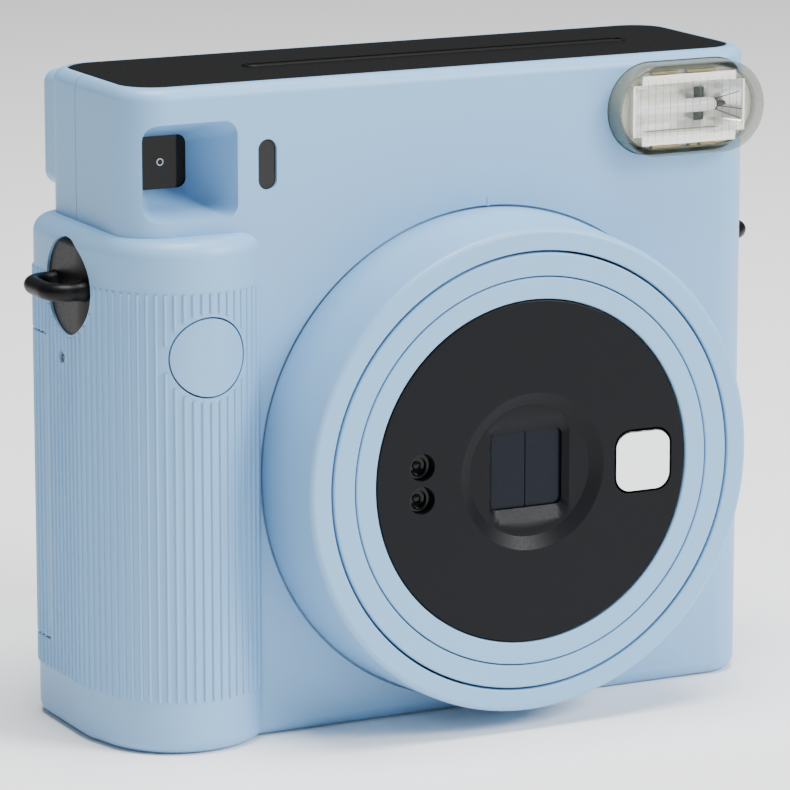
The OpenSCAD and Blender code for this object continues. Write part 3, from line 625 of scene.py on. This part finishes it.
eyepiece_low, eyepiece_high = corners("eyepiece_housing")
eyepiece_mid = (eyepiece_low + eyepiece_high) / 2
eye_w, eye_h = eyepiece_high.x - eyepiece_low.x, eyepiece_high.z - eyepiece_low.z
eye_rings = []
EYE_CORNER_R, EYE_EDGE_R = 2.5, 1.2


def eye_ring(shrink, y):
    outline = rounded_outline(eyepiece_mid.x, eyepiece_mid.z, eye_w - 2 * shrink, eye_h - 2 * shrink,
                              EYE_CORNER_R - shrink)
    return along_y(outline, y)


eye_rings.append(eye_ring(0, back_y - 4))
for i in range(9):
    a = math.pi / 2 * i / 8
    y = eyepiece_high.y - EYE_EDGE_R * (1 - math.sin(a))
    eye_rings.append(eye_ring(EYE_EDGE_R * (1 - math.cos(a)), y))
eyepiece = cut(loft("eyepiece_surround", eye_rings),
               upright_block("inner", main_outline, 0, top_z, BASE_EDGE_R, TOP_EDGE_R))
eye_mouth = loft("tool", [along_y(rounded_outline(finder.x, finder.z, 9 + w, 7 + w, 1.4), y)
                          for w, y in ((0, back_y - 1), (0, back_y + 2.6), (4, back_y + 5))])
eye_seat = loft("tool", [along_y(rounded_outline(finder.x, finder.z, 14.2, 11.2, 1.9), y)
                         for y in (back_y - 1, back_y + 2.1)])
cut(eyepiece, eye_mouth, eye_seat)
soften(eyepiece, 0.2)
dress(eyepiece, blue_abs, "body", "blue_plastic", "eyepiece_housing")

# ---- Light sensor ----------------------------
# A smoked acrylic window in a slot with round ends, sunk just below the face.
smoked_grey = new_material("acrylic_grey_satin", "#1a1819", Roughness=0.22, IOR=1.49,
                           Specular_IOR_Level=0.3)[0]
sensor_y = corners("light_sensor_window")[0].y
sensor_steps = ((0.25, sensor_y), (0.06, sensor_y + 0.06), (0, sensor_y + 0.25), (0, sensor_y + 1.6))
SENSOR_W, SENSOR_H = 3.5, 8.9
sensor_rings = [along_y(rounded_outline(sensor.x, sensor.z, SENSOR_W - 2 * i, SENSOR_H - 2 * i, 1.7 - i), y)
                for i, y in sensor_steps]
sensor_piece = loft("light_sensor_pane", sensor_rings)
soften(sensor_piece, 0)
dress(sensor_piece, smoked_grey, "body", "dark_glass", "light_sensor_window")

# ---- Flash -----------------------------------
# A clear polycarbonate cap over a warm grey tray, a bright reflector with stepped corners
# and sloped ends, and a glass tube across it. Fine upright prisms line the cap's face.
clear_cap, cap_tree, cap_surface = new_material("polycarbonate_clear", "#8e9486", IOR=1.58)
cap_facing = add_node(cap_tree, "ShaderNodeSeparateXYZ",
                      {"Vector": add_node(cap_tree, "ShaderNodeTexCoord").outputs["Normal"]})
cap_level = add_node(cap_tree, "ShaderNodeMath", {0: cap_facing.outputs["Y"]}, operation="ABSOLUTE")
# The face is polished and clear, and the flank is finely frosted
for socket, flank, face in (("Alpha", 0.62, 0.05), ("Roughness", 0.22, 0.04)):
    cap_range = add_node(cap_tree, "ShaderNodeMapRange", {"Value": cap_level.outputs[0], "From Min": 0.2,
                         "From Max": 0.9, "To Min": flank, "To Max": face})
    cap_tree.links.new(cap_range.outputs["Result"], cap_surface.inputs[socket])
flash_front_y = corners("flash_cover")[0].y
CAP_WALL = 1.2
CAP_EDGE_R = 0.7


def cap_ring(shrink, y):
    outline = rounded_outline(flash.x, flash.z, flash_w - 2 * shrink, flash_h - 2 * shrink,
                              flash_h / 2 - shrink - 0.01, 24)
    return along_y(outline, y)


cap_rings = []
for i in range(7):
    a = math.pi / 2 * i / 6
    cap_rings.append(cap_ring(CAP_EDGE_R * (1 - math.sin(a)), flash_front_y + CAP_EDGE_R * (1 - math.cos(a))))
for shrink, y in ((0, flash_back_y), (CAP_WALL, flash_back_y), (CAP_WALL, flash_front_y + CAP_WALL + 0.4),
                  (CAP_WALL + 0.4, flash_front_y + CAP_WALL)):
    cap_rings.append(cap_ring(shrink, y))
cap = loft("flash_cap", cap_rings)
soften(cap, 0)
dress(cap, clear_cap, "body", "clear_plastic", "flash_cover")

bright = new_material("aluminised_reflector", "#fbfaf6", Metallic=0.55, Roughness=0.24)[0]
warm_grey = moulded_plastic("abs_warm_grey", "#c3c1b4", "#bdbbae", 0.45, 0.4, 0.01)
reflector_y = corners("flash_reflector")[0].y
tray_y = reflector_y + 1.2
tray_ring = rounded_outline(flash.x, flash.z, flash_w - 2.9, flash_h - 2.9, flash_h / 2 - 1.46, 24)
tray = loft("flash_tray", [along_y(tray_ring, tray_y), along_y(tray_ring, flash_back_y - 0.1)])
cut(tray, box_tool((flash.x - 11.15, tray_y - 2, flash.z - 4.15),
                   (flash.x + 11.15, flash_back_y + 2, flash.z + 4.15)))
soften(tray, 0.1)
dress(tray, warm_grey, "body", "white_plastic", "flash_base")

frame_points = [(11.7, -4.7), (11.7, 4.7), (9.8, 4.7), (9.8, 6.4), (-9.8, 6.4), (-9.8, 4.7), (-11.7, 4.7),
                (-11.7, -4.7), (-9.8, -4.7), (-9.8, -6.4), (9.8, -6.4), (9.8, -4.7)]
frame_ring = [(flash.x + x, flash.z + z) for x, z in frame_points]
reflector = loft("flash_reflector_shell", [along_y(frame_ring, reflector_y + y) for y in (0, 1.1)])
trough_ring = [(flash.x + x, flash.z + z) for x, z in ((11, -4), (11, 4), (-11, 4), (-11, -4))]
trough = loft("tool", [along_y(trough_ring, reflector_y + y) for y in (0.5, 7.5)])
cut(reflector, trough, operation="UNION")
# The trough is a half round that runs out towards the front at both ends
scoop = [(y, z) for y, z in arc((3.0, 0), 3.5, -68, 68, 18)]
scoop = [(-1, -5.4), (0.6, -4.6)] + scoop + [(0.6, 4.6), (-1, 5.4)]
scoop_rings = []
for x, depth in ((-11.3, 0.08), (-6.5, 1), (5.2, 1), (11.3, 0.08)):
    scoop_rings.append([(flash.x + x, reflector_y + (y * depth if y > 0 else y), flash.z + z)
                        for y, z in scoop])
cut(reflector, loft("tool", scoop_rings))
soften(reflector, 0.06)
dress(reflector, bright, "body", "reflector", "flash_reflector")

tube_glass = new_material("flash_tube_glass", "#f6f7f7", Roughness=0.06, Alpha=0.6, IOR=1.47)[0]
tube_y, tube_z = middle("flash_tube").y, middle("flash_tube").z
tube_x0, tube_x1 = corners("flash_tube")[0].x, corners("flash_tube")[1].x


def bar_along_x(name, y, z, stations, steps=32):
    """A round bar along X through stations of (x, radius)."""
    angles = [2 * math.pi * k / steps for k in range(steps)]
    return loft(name, [[(x, y + r * math.cos(a), z + r * math.sin(a)) for a in angles]
                       for x, r in stations])


tube_stations = [(tube_x0, 0.5), (tube_x0 + 0.5, 1.2), (tube_x0 + 1.4, 1.3), (flash.x + 5.6, 1.3),
                 (flash.x + 6.8, 1.1), (flash.x + 7.4, 0.5)]
tube = bar_along_x("flash_tube_bulb", tube_y, tube_z, tube_stations)
soften(tube, 0)
dress(tube, tube_glass, "body", "glass", "flash_tube")

# The tube's blued steel holder, its electrode, and the trigger wires that fan out from it
dark_metal = new_material("steel_blued", "#1c232a", Metallic=0.7, Roughness=0.3)[0]
holder = box_tool((flash.x + 3.7, tube_y + 1.6, flash.z - 3.2),
                  (flash.x + 5.7, tube_y + 1.9, flash.z + 3.2))
holder.name = "flash_tube_holder"
soften(holder, 0)
dress(holder, dark_metal, "body", "steel")
electrode_stations = [(flash.x + 6.9, 0.9), (flash.x + 7.1, 1.1), (flash.x + 7.9, 0.6), (tube_x1, 0.25)]
electrode = bar_along_x("flash_electrode", tube_y, tube_z, electrode_stations, 24)
soften(electrode, 0)
dress(electrode, dark_metal, "body", "steel")
for number, (rise, reach) in enumerate(((-2.6, 10.9), (-0.9, 11.2), (2.4, 10.6))):
    wire_ends = ((flash.x + 6.2, tube_y + 0.3, tube_z + rise * 0.25),
                 (flash.x + reach, reflector_y + 0.15, flash.z + rise))
    wire = loft(f"flash_wire_{number + 1}", [[(x, y + 0.11 * math.cos(a), z + 0.11 * math.sin(a))
                                             for a in (0.4, 2.0, 3.6, 5.2)] for x, y, z in wire_ends])
    soften(wire, 0)
    dress(wire, dark_metal, "body", "steel")
prisms = ([], [])
for i in range(14):
    x = flash.x - 10.4 + i * 1.55
    low = len(prisms[0])
    y = flash_front_y + CAP_WALL
    for z in (flash.z - 5.6, flash.z + 5.6):
        prisms[0].extend([(x - 0.07, y - 0.05, z), (x + 0.07, y - 0.05, z), (x, y + 0.1, z)])
    prism_faces = ((0, 1, 2), (3, 5, 4), (0, 3, 4, 1), (1, 4, 5, 2), (2, 5, 3, 0))
    prisms[1].extend([tuple(low + k for k in f) for f in prism_faces])
prism_lines = mesh_piece("flash_cap_prisms", *prisms)
dress(prism_lines, clear_cap, "body", "clear_plastic")

# Brass-coloured contact clips show through the cap above and below the reflector
brass_clip = new_material("brass_sprung", "#8f7f4e", Metallic=0.8, Roughness=0.35)[0]
for number, (dx, dz, w) in enumerate(((-5, 6.78, 5.5), (2.6, 6.78, 6), (-4.6, -6.78, 6), (1.0, -6.78, 1.6),
                                      (4.2, -6.78, 3.4))):
    clip = box_tool((flash.x + dx - w / 2, tray_y - 1.0, flash.z + dz - 0.24),
                    (flash.x + dx + w / 2, tray_y + 0.6, flash.z + dz + 0.24))
    clip.name = f"flash_clip_{number + 1}"
    soften(clip, 0.1)
    dress(clip, brass_clip, "body", "brass")

# ---- Lens dial -------------------------------
# The big ABS dial turns the camera on: a slightly conical flank, a flat face with
# rounded edges, and a sleeve that passes into the body.


def rounded_profile(points, radii, steps=6):
    """Rounds the corners of a closed (radius, y) profile."""
    made = []
    for i, (p, r) in enumerate(zip(points, radii)):
        p = Vector(p)
        if r == 0:
            made.append(tuple(p))
            continue
        before = (Vector(points[i - 1]) - p).normalized()
        after = (Vector(points[(i + 1) % len(points)]) - p).normalized()
        half = before.angle(after) / 2
        reach = r / math.tan(half)
        hub = p + (before + after).normalized() * (r / math.sin(half))
        a, b = p + before * reach - hub, p + after * reach - hub
        turn = a.angle_signed(b)
        for k in range(steps + 1):
            spin = Matrix.Rotation(-turn * k / steps, 2)
            made.append(tuple(hub + spin @ a))
    return made


dial_low, dial_high = corners("lens_dial")
ring_y = dial_low.y
DIAL_FRONT_R, DIAL_BORE_R = 44.1, 40.1
dial_profile = rounded_profile(
    [(DIAL_BORE_R, ring_y), (DIAL_FRONT_R, ring_y), (DIAL_BASE_R, front_y + 0.4), (42.1, front_y + 0.4),
     (42.1, dial_high.y), (DIAL_BORE_R, dial_high.y)], [0.35, 1.1, 0.35, 0, 0, 0])
dial = lathed("lens_dial_moulding", dial_profile, lens, 240)
soften(dial, 0, angle=50)
dress(dial, blue_abs, "dial", "blue_plastic", "lens_dial")

# ---- Lens barrel and trim ring ---------------
# The barrel's face is a blue ring round the plate, with a second ring let into it. The
# dark lines between the rings are real gaps.
barrel_high = corners("lens_barrel")[1]
BARREL_R, BARREL_BORE_R, TRIM_R, PLATE_R = 39.7, 37.9, 35.3, 31.2
web_front_y = corners("front_plate")[1].y
web_back_y = web_front_y + 2
barrel_profile = rounded_profile(
    [(TRIM_R + 0.22, ring_y), (BARREL_R, ring_y), (BARREL_R, barrel_high.y), (BARREL_BORE_R, barrel_high.y),
     (BARREL_BORE_R, web_back_y), (26, web_back_y), (26, web_front_y), (TRIM_R + 0.22, web_front_y)],
    [0.3, 0.4, 0, 0, 0, 0, 0, 0])
barrel = lathed("lens_barrel_moulding", barrel_profile, lens, 240)
soften(barrel, 0, angle=50)
dress(barrel, blue_abs, "barrel", "blue_plastic", "lens_barrel")

trim_profile = rounded_profile([(PLATE_R + 0.18, ring_y), (TRIM_R, ring_y), (TRIM_R, web_front_y),
                                (PLATE_R + 0.18, web_front_y)], [0.35, 0.3, 0, 0])
trim = lathed("barrel_trim_moulding", trim_profile, lens, 240)
soften(trim, 0, angle=50)
dress(trim, blue_abs, "barrel", "blue_plastic", "barrel_trim_ring")

# ---- Front plate -----------------------------
# A black satin disc with a dished well, and a window in the well whose upper and lower
# sides slope. Two small stepped holes lie to its left and a mirror to its right.
satin_black = moulded_plastic("abs_black_satin", "#090a0e", "#0b0c10", 0.42, 0.3, 0.008, 0.13)
plate_low, plate_high = corners("front_plate")
well_floor_y = plate_low.y + 1.3
plate_profile = rounded_profile(
    [(0.02, plate_high.y), (PLATE_R, plate_high.y), (PLATE_R, plate_low.y), (14.4, plate_low.y),
     (12.1, well_floor_y), (0.02, well_floor_y)], [0, 0, 0.35, 0.5, 0.12, 0])
plate = lathed("front_plate_disc", plate_profile, lens, 240)
mirror = middle("selfie_mirror")
mirror_w = corners("selfie_mirror")[1].x - corners("selfie_mirror")[0].x
holes = middle("sensor_windows")
hole_rise = (corners("sensor_windows")[1].z - corners("sensor_windows")[0].z) / 2 - 2.45
window_slope = loft("tool", [along_y(rounded_outline(lens.x, lens.z, w, h, r), y) for w, h, r, y in
                             ((16.6, 19.2, 2.6, well_floor_y - 0.4), (16.2, 17.8, 2.2, well_floor_y),
                              (14.2, 14, 1.2, plate_high.y - 0.25), (14.2, 14, 1.2, plate_high.y + 1))])
seat_outline = rounded_outline(mirror.x, mirror.z, mirror_w + 0.6, mirror_w + 0.6, 3.2)
mirror_seat = loft("tool", [along_y(seat_outline, y) for y in (plate_low.y - 1, plate_low.y + 2.1)])
cut(plate, window_slope, mirror_seat)
for side in (-1, 1):
    cut(plate, round_tool(holes.x, holes.z + side * hole_rise, 2.5, plate_low.y - 1, plate_high.y + 1))
soften(plate, 0.12, angle=42)
dress(plate, satin_black, "barrel", "satin_black", "front_plate")

# ---- Mirror ----------------------------------
# A silvered acrylic mirror with round corners and a fine polished bevel.
silver = new_material("acrylic_silvered", "#eef0f1", Metallic=1.0, Roughness=0.06)[0]
mirror_y = corners("selfie_mirror")[0].y
mirror_steps = ((0.4, mirror_y + 0.5), (0.12, mirror_y + 0.6), (0, mirror_y + 0.9), (0, mirror_y + 1.6))
mirror_rings = [along_y(rounded_outline(mirror.x, mirror.z, mirror_w - 2 * i, mirror_w - 2 * i, 3 - i, 14), y)
                for i, y in mirror_steps]
mirror_piece = loft("mirror_pane", mirror_rings)
soften(mirror_piece, 0)
dress(mirror_piece, silver, "barrel", "mirror", "selfie_mirror")

# ---- Sensor windows --------------------------
# Two black stepped wells, each with a small glossy domed lens at its foot.
well_y = corners("sensor_windows")[0].y
for side, place in ((-1, "lower"), (1, "upper")):
    centre = Vector((holes.x, 0, holes.z + side * hole_rise))
    steps_profile = [(0.02, well_y + 0.85), (1.5, well_y + 0.85), (1.55, well_y + 0.1), (2.44, well_y),
                     (2.44, well_y + 0.95), (0.02, well_y + 0.95)]
    surround = lathed(f"sensor_surround_{place}", steps_profile, centre, 64)
    soften(surround, 0.06, angle=30)
    dress(surround, gloss_black, "barrel", "dark_glass", *(["sensor_windows"] if side < 0 else []))
    glass_dome = dome(f"sensor_dome_{place}", centre, 0.8, well_y + 0.8, 0.25)
    soften(glass_dome, 0)
    dress(glass_dome, gloss_black, "barrel", "dark_glass")

# ---- Cover leaves ----------------------------
# Two thin dark blue-grey leaves meet in a fine upright line in front of the lens.
leaf_paint = moulded_plastic("lens_leaf_enamel", "#050b17", "#070d1a", 0.3, 0.5, 0.002, 0.14)
for side, place in ((-1, "left"), (1, "right")):
    low, high = corners(f"cover_blade_{place}")
    centre, size = (low + high) / 2, high - low
    leaf_rings = [along_y(rounded_outline(centre.x, centre.z, size.x - 2 * i, size.z - 2 * i, 0.2), y)
                  for i, y in ((0.1, low.y), (0, low.y + 0.1), (0, high.y))]
    leaf = loft(f"lens_leaf_{place}", leaf_rings)
    soften(leaf, 0)
    dress(leaf, leaf_paint, f"cover_{place}", "black_plastic", f"cover_blade_{place}")

# ---- Strap lugs ------------------------------
# A black nylon disc lies just under the skin on each side and follows its curve. A thick
# squared loop stands on it, and its legs flare where they run into the disc.
black_nylon = moulded_plastic("nylon_black", "#050506", "#070708", 0.4, 0.5, 0.015, 0.16)
lug_face_x, leg_y, bend_r, bend_x, bar_r = 64.1, 6.2, 3.8, 2.5, 1.6
loop_path = [(-0.8, -leg_y), (0.6, -leg_y), (1.6, -leg_y)]
loop_path += arc((bend_x, bend_r - leg_y), bend_r, -90, 0, 14)
loop_path += arc((bend_x, leg_y - bend_r), bend_r, 0, 90, 14)
loop_path += [(1.6, leg_y), (0.6, leg_y), (-0.8, leg_y)]
under_skin = casing_block(0.45)


def bent_bar(name, path, radii, steps=28):
    """A round bar along points in the level plane at the lug's height."""
    rings = []
    for i, (x, y) in enumerate(path):
        before, after = path[max(i - 1, 0)], path[min(i + 1, len(path) - 1)]
        along = (Vector(after) - Vector(before)).normalized()
        out = Vector((along.y, -along.x))
        angles = [2 * math.pi * k / steps for k in range(steps)]
        rings.append([(x + out.x * radii[i] * math.cos(a), y + out.y * radii[i] * math.cos(a),
                       lug_z + radii[i] * math.sin(a)) for a in angles])
    return loft(name, rings)


for side, place in ((-1, "left"), (1, "right")):
    face = side * lug_face_x
    widths = [bar_r + 0.5 * math.exp(-(abs(x) / 1.0) ** 2) for x, _ in loop_path]
    bar = bent_bar(f"strap_bar_{place}", [(face + side * x, lug_y + y) for x, y in loop_path], widths)
    soften(bar, 0, angle=60)
    dress(bar, black_nylon, "body", "black_plastic")
    disc = side_tool(lug_y, lug_z, lug_r, *sorted((side * (lug_face_x - 2.2), side * 70)))
    disc.name = f"strap_disc_{place}"
    cut(disc, copy_of(under_skin, "under_skin_copy"), operation="INTERSECT")
    soften(disc, 0.1)
    dress(disc, black_nylon, "body", "black_plastic", f"strap_lug_{place}")
bpy.data.objects.remove(under_skin)

# ---- Back door -------------------------------
# A flat ABS door over the film, with a slightly sunk panel, a window on the film pack and
# a slot for the latch. Its knuckles turn on two steel pins.
back_door = loft("back_door_moulding", [along_y(rounded_outline(
    (door_low.x + door_x1) / 2, (door_low.z + door_high.z) / 2, door_x1 - door_low.x - 2 * i,
    door_high.z - door_low.z - 2 * i, 2.2), y) for i, y in
    ((0.0, back_y - 2), (0, back_y - 0.6), (0.15, back_y - 0.2), (0.6, back_y))])
for low, high in KNUCKLE_SPANS:
    knuckle = hinge_bar(KNUCKLE_R, low, high)
    strap = box_tool((door_x1 - 3, back_y - 2, low), (hinge_x, back_y - 1, high))
    bore = loft("tool", [[(x, y, z) for x, y in arc((hinge_x, hinge_y), 0.85, 0, 345, 23)]
                         for z in (low - 1, high + 1)])
    cut(back_door, knuckle, strap, operation="UNION")
    cut(back_door, bore)
film_window = middle("film_window")
panel = loft("tool", [along_y(rounded_outline(film_window.x - 16, 58, 62 + w, 84 + w, 3), y)
                      for w, y in ((0, back_y - 0.5), (1.2, back_y + 1))])
window_hole = loft("tool", [along_y(rounded_outline(film_window.x, film_window.z, 9 + w, 34 + w, 1.5), y)
                            for w, y in ((0, back_y - 5), (0, back_y - 1), (1.6, back_y + 1))])
latch_slot_outline = rounded_outline(door_low.x + 6.5, 58, 5.2, 22, 1)
latch_slot = loft("tool", [along_y(latch_slot_outline, y) for y in (back_y - 5, back_y + 5)])
cut(back_door, panel, window_hole, latch_slot)
soften(back_door, 0.15)
dress(back_door, blue_abs, "door", "blue_plastic", "back_door")

latch_low, latch_high = corners("door_latch")
latch_x = (latch_low.x + latch_high.x) / 2
latch_steps = ((0, back_y - 0.9), (0, latch_high.y - 0.3), (0.1, latch_high.y - 0.08), (0.35, latch_high.y))
latch_rings = [along_y(rounded_outline(latch_x, 60, 4.8 - 2 * i, 12 - 2 * i, 0.9), y) for i, y in latch_steps]
latch = loft("door_latch_key", latch_rings)
latch_foot_outline = rounded_outline(latch_x, 58, 4.8, 12, 0.9)
latch_foot = loft("tool", [along_y(latch_foot_outline, y) for y in (back_y - 2, back_y - 0.8)])
cut(latch, latch_foot, operation="UNION")
for i in range(5):
    z = 56.4 + i * 1.8
    cut(latch, box_tool((latch_low.x + 0.7, latch_high.y - 0.3, z),
                        (latch_high.x - 0.7, latch_high.y + 1, z + 0.7)))
soften(latch, 0.08)
dress(latch, blue_abs, "latch", "blue_plastic", "door_latch")

# ---- Pieces inside ---------------------------
# What shows only with a cover off or through a window keeps its frame shape, with the
# finish of its own material: steel, brass, nylon, glass, circuit board or a printed sleeve.


def metal(name, colour, roughness, streak, stretch):
    """Bare metal with fine lines along one axis, from rolling or turning."""
    made, tree, surface = new_material(name, colour, Metallic=1.0)
    place = add_node(tree, "ShaderNodeTexCoord").outputs["Object"]
    along = add_node(tree, "ShaderNodeMapping", {"Vector": place, "Scale": stretch})
    lines = add_node(tree, "ShaderNodeTexNoise", {"Vector": along.outputs["Vector"],
                     "Scale": 1 / (streak * MM), "Detail": 4.0})
    gloss = add_node(tree, "ShaderNodeMapRange", {"Value": lines.outputs["Fac"], "To Min": roughness - 0.1,
                     "To Max": roughness + 0.12})
    bump = add_node(tree, "ShaderNodeBump", {"Height": lines.outputs["Fac"], "Distance": 0.01 * MM,
                    "Strength": 0.5})
    tree.links.new(gloss.outputs["Result"], surface.inputs["Roughness"])
    tree.links.new(bump.outputs["Normal"], surface.inputs["Normal"])
    return made


# Rolled steel sheet and turned steel shafts: cool grey with fine lines
steel = metal("steel_rolled", "#b4b6b8", 0.32, 0.6, (0.05, 1, 1))
# Sprung brass: warm, slightly dulled
brass = metal("brass_rolled", "#c8a860", 0.3, 0.6, (1, 0.05, 1))
# White ABS of the counter's dial
white_abs = moulded_plastic("abs_white", "#e9e9e6", "#e4e4e0", 0.4, 0.4, 0.01)
# Natural nylon gear: waxy off-white
nylon_white = moulded_plastic("nylon_natural", "#e4dfcf", "#ddd7c4", 0.4, 0.5, 0.006)

board, board_tree, board_surface = new_material("circuit_board_green", Roughness=0.3)
board_place = add_node(board_tree, "ShaderNodeTexCoord").outputs["Object"]
tracks = add_node(board_tree, "ShaderNodeTexBrick", {"Vector": board_place, "Scale": 1 / (6 * MM),
                  "Mortar Size": 0.03, "Color1": linear("#0f4a24"), "Color2": linear("#12532a"),
                  "Mortar": linear("#2f7a48")})
board_tree.links.new(tracks.outputs["Color"], board_surface.inputs["Base Color"])

CELL_PITCH, BAND_HEIGHT = 27.2, 9
sleeve, sleeve_tree, sleeve_surface = new_material("cell_sleeve_printed", Roughness=0.25)
sleeve_place = add_node(sleeve_tree, "ShaderNodeTexCoord").outputs["Object"]
sleeve_height = add_node(sleeve_tree, "ShaderNodeSeparateXYZ", {"Vector": sleeve_place})
sleeve_bands = add_node(sleeve_tree, "ShaderNodeMath",
                        {0: sleeve_height.outputs["Z"], 1: CELL_PITCH * MM}, operation="MODULO")
sleeve_mask = add_node(sleeve_tree, "ShaderNodeMath",
                       {0: sleeve_bands.outputs[0], 1: BAND_HEIGHT * MM}, operation="GREATER_THAN")
sleeve_mix = add_node(sleeve_tree, "ShaderNodeMix", {"Factor": sleeve_mask.outputs[0]}, data_type="RGBA")
sleeve_mix.inputs["A"].default_value = linear("#30353c")
sleeve_mix.inputs["B"].default_value = linear("#b9bec4")
sleeve_tree.links.new(sleeve_mix.outputs["Result"], sleeve_surface.inputs["Base Color"])

optic = new_material("optical_glass", "#e9f0f4", Roughness=0.02, Transmission_Weight=1.0, IOR=1.52)[0]

INSIDE = {
    "front_lens": optic, "rear_lens": optic, "eyepiece_lens": optic, "counter_window": optic,
    "film_window": optic, "viewfinder_tube": black_abs, "flash_capacitor": black_nylon, "main_board": board,
    "film_chamber": black_abs, "film_pack": satin_black, "barrel_guide": black_abs,
    "dial_retainer": black_nylon, "battery_tray": black_abs,
    "battery_cells": sleeve, "battery_contacts": brass, "release_switch": black_nylon, "grip_screw": steel,
    "counter_dial": white_abs, "roller_bracket": steel, "drive_motor": steel, "hinge_pins": steel,
    "shutter_housing": satin_black, "shutter_blade_left": dark_metal, "shutter_blade_right": dark_metal,
    "pressure_springs": steel, "roller_front": steel, "roller_rear": steel, "motor_pinion": brass,
    "idler_gear": nylon_white, "film_claw": steel,
}
for name, material in INSIDE.items():
    node_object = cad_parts[name]
    node_object.data.materials.clear()
    node_object.data.materials.append(material)

# ---- Studio ----------------------------------
# A pale paper floor, one large soft light from the upper right, one from above, a weaker
# one from the front, and an even surround.
floor_paint = new_material("studio_paper", "#fcfcfc", Roughness=0.9)[0]
FLOOR = 4000
floor_corners = [(x, y, 0) for x, y in ((-FLOOR, -FLOOR), (FLOOR, -FLOOR), (FLOOR, FLOOR), (-FLOOR, FLOOR))]
floor = mesh_piece("studio_floor", floor_corners, [(0, 1, 2, 3)])
floor.data.materials.append(floor_paint)

world = bpy.data.worlds.new("studio_surround")
bpy.context.scene.world = world
world.use_nodes = True
world.node_tree.nodes["Background"].inputs["Color"].default_value = linear("#f6f8fa")
world.node_tree.nodes["Background"].inputs["Strength"].default_value = 0.22


def soft_light(name, at, aim_at, size, power):
    """A square soft box, at and aimed in metres."""
    lamp = bpy.data.lights.new(name, "AREA")
    lamp.size = size
    lamp.energy = power
    holder = bpy.data.objects.new(name, lamp)
    holder.location = at
    holder.rotation_euler = (Vector(aim_at) - Vector(at)).to_track_quat("-Z", "Y").to_euler()
    bpy.context.scene.collection.objects.link(holder)


target = (0, 0, 0.06)
soft_light("key_light", (0.95, -1.1, 0.95), target, 0.6, 34)
soft_light("top_light", (0.0, -0.1, 1.2), target, 0.6, 26)
soft_light("front_light", (-0.3, -1.4, 0.5), target, 0.8, 3)

camera = bpy.data.cameras.new("camera")
camera.sensor_width = 36
camera.lens = 218.5
camera.clip_end = 20
camera_holder = bpy.data.objects.new("camera", camera)
camera_holder.location = (-0.3885, -0.7713, 0.2412)
camera_holder.rotation_euler = (math.radians(90 - 12.126), 0, math.radians(-26.767))
bpy.context.scene.collection.objects.link(camera_holder)
bpy.context.scene.camera = camera_holder
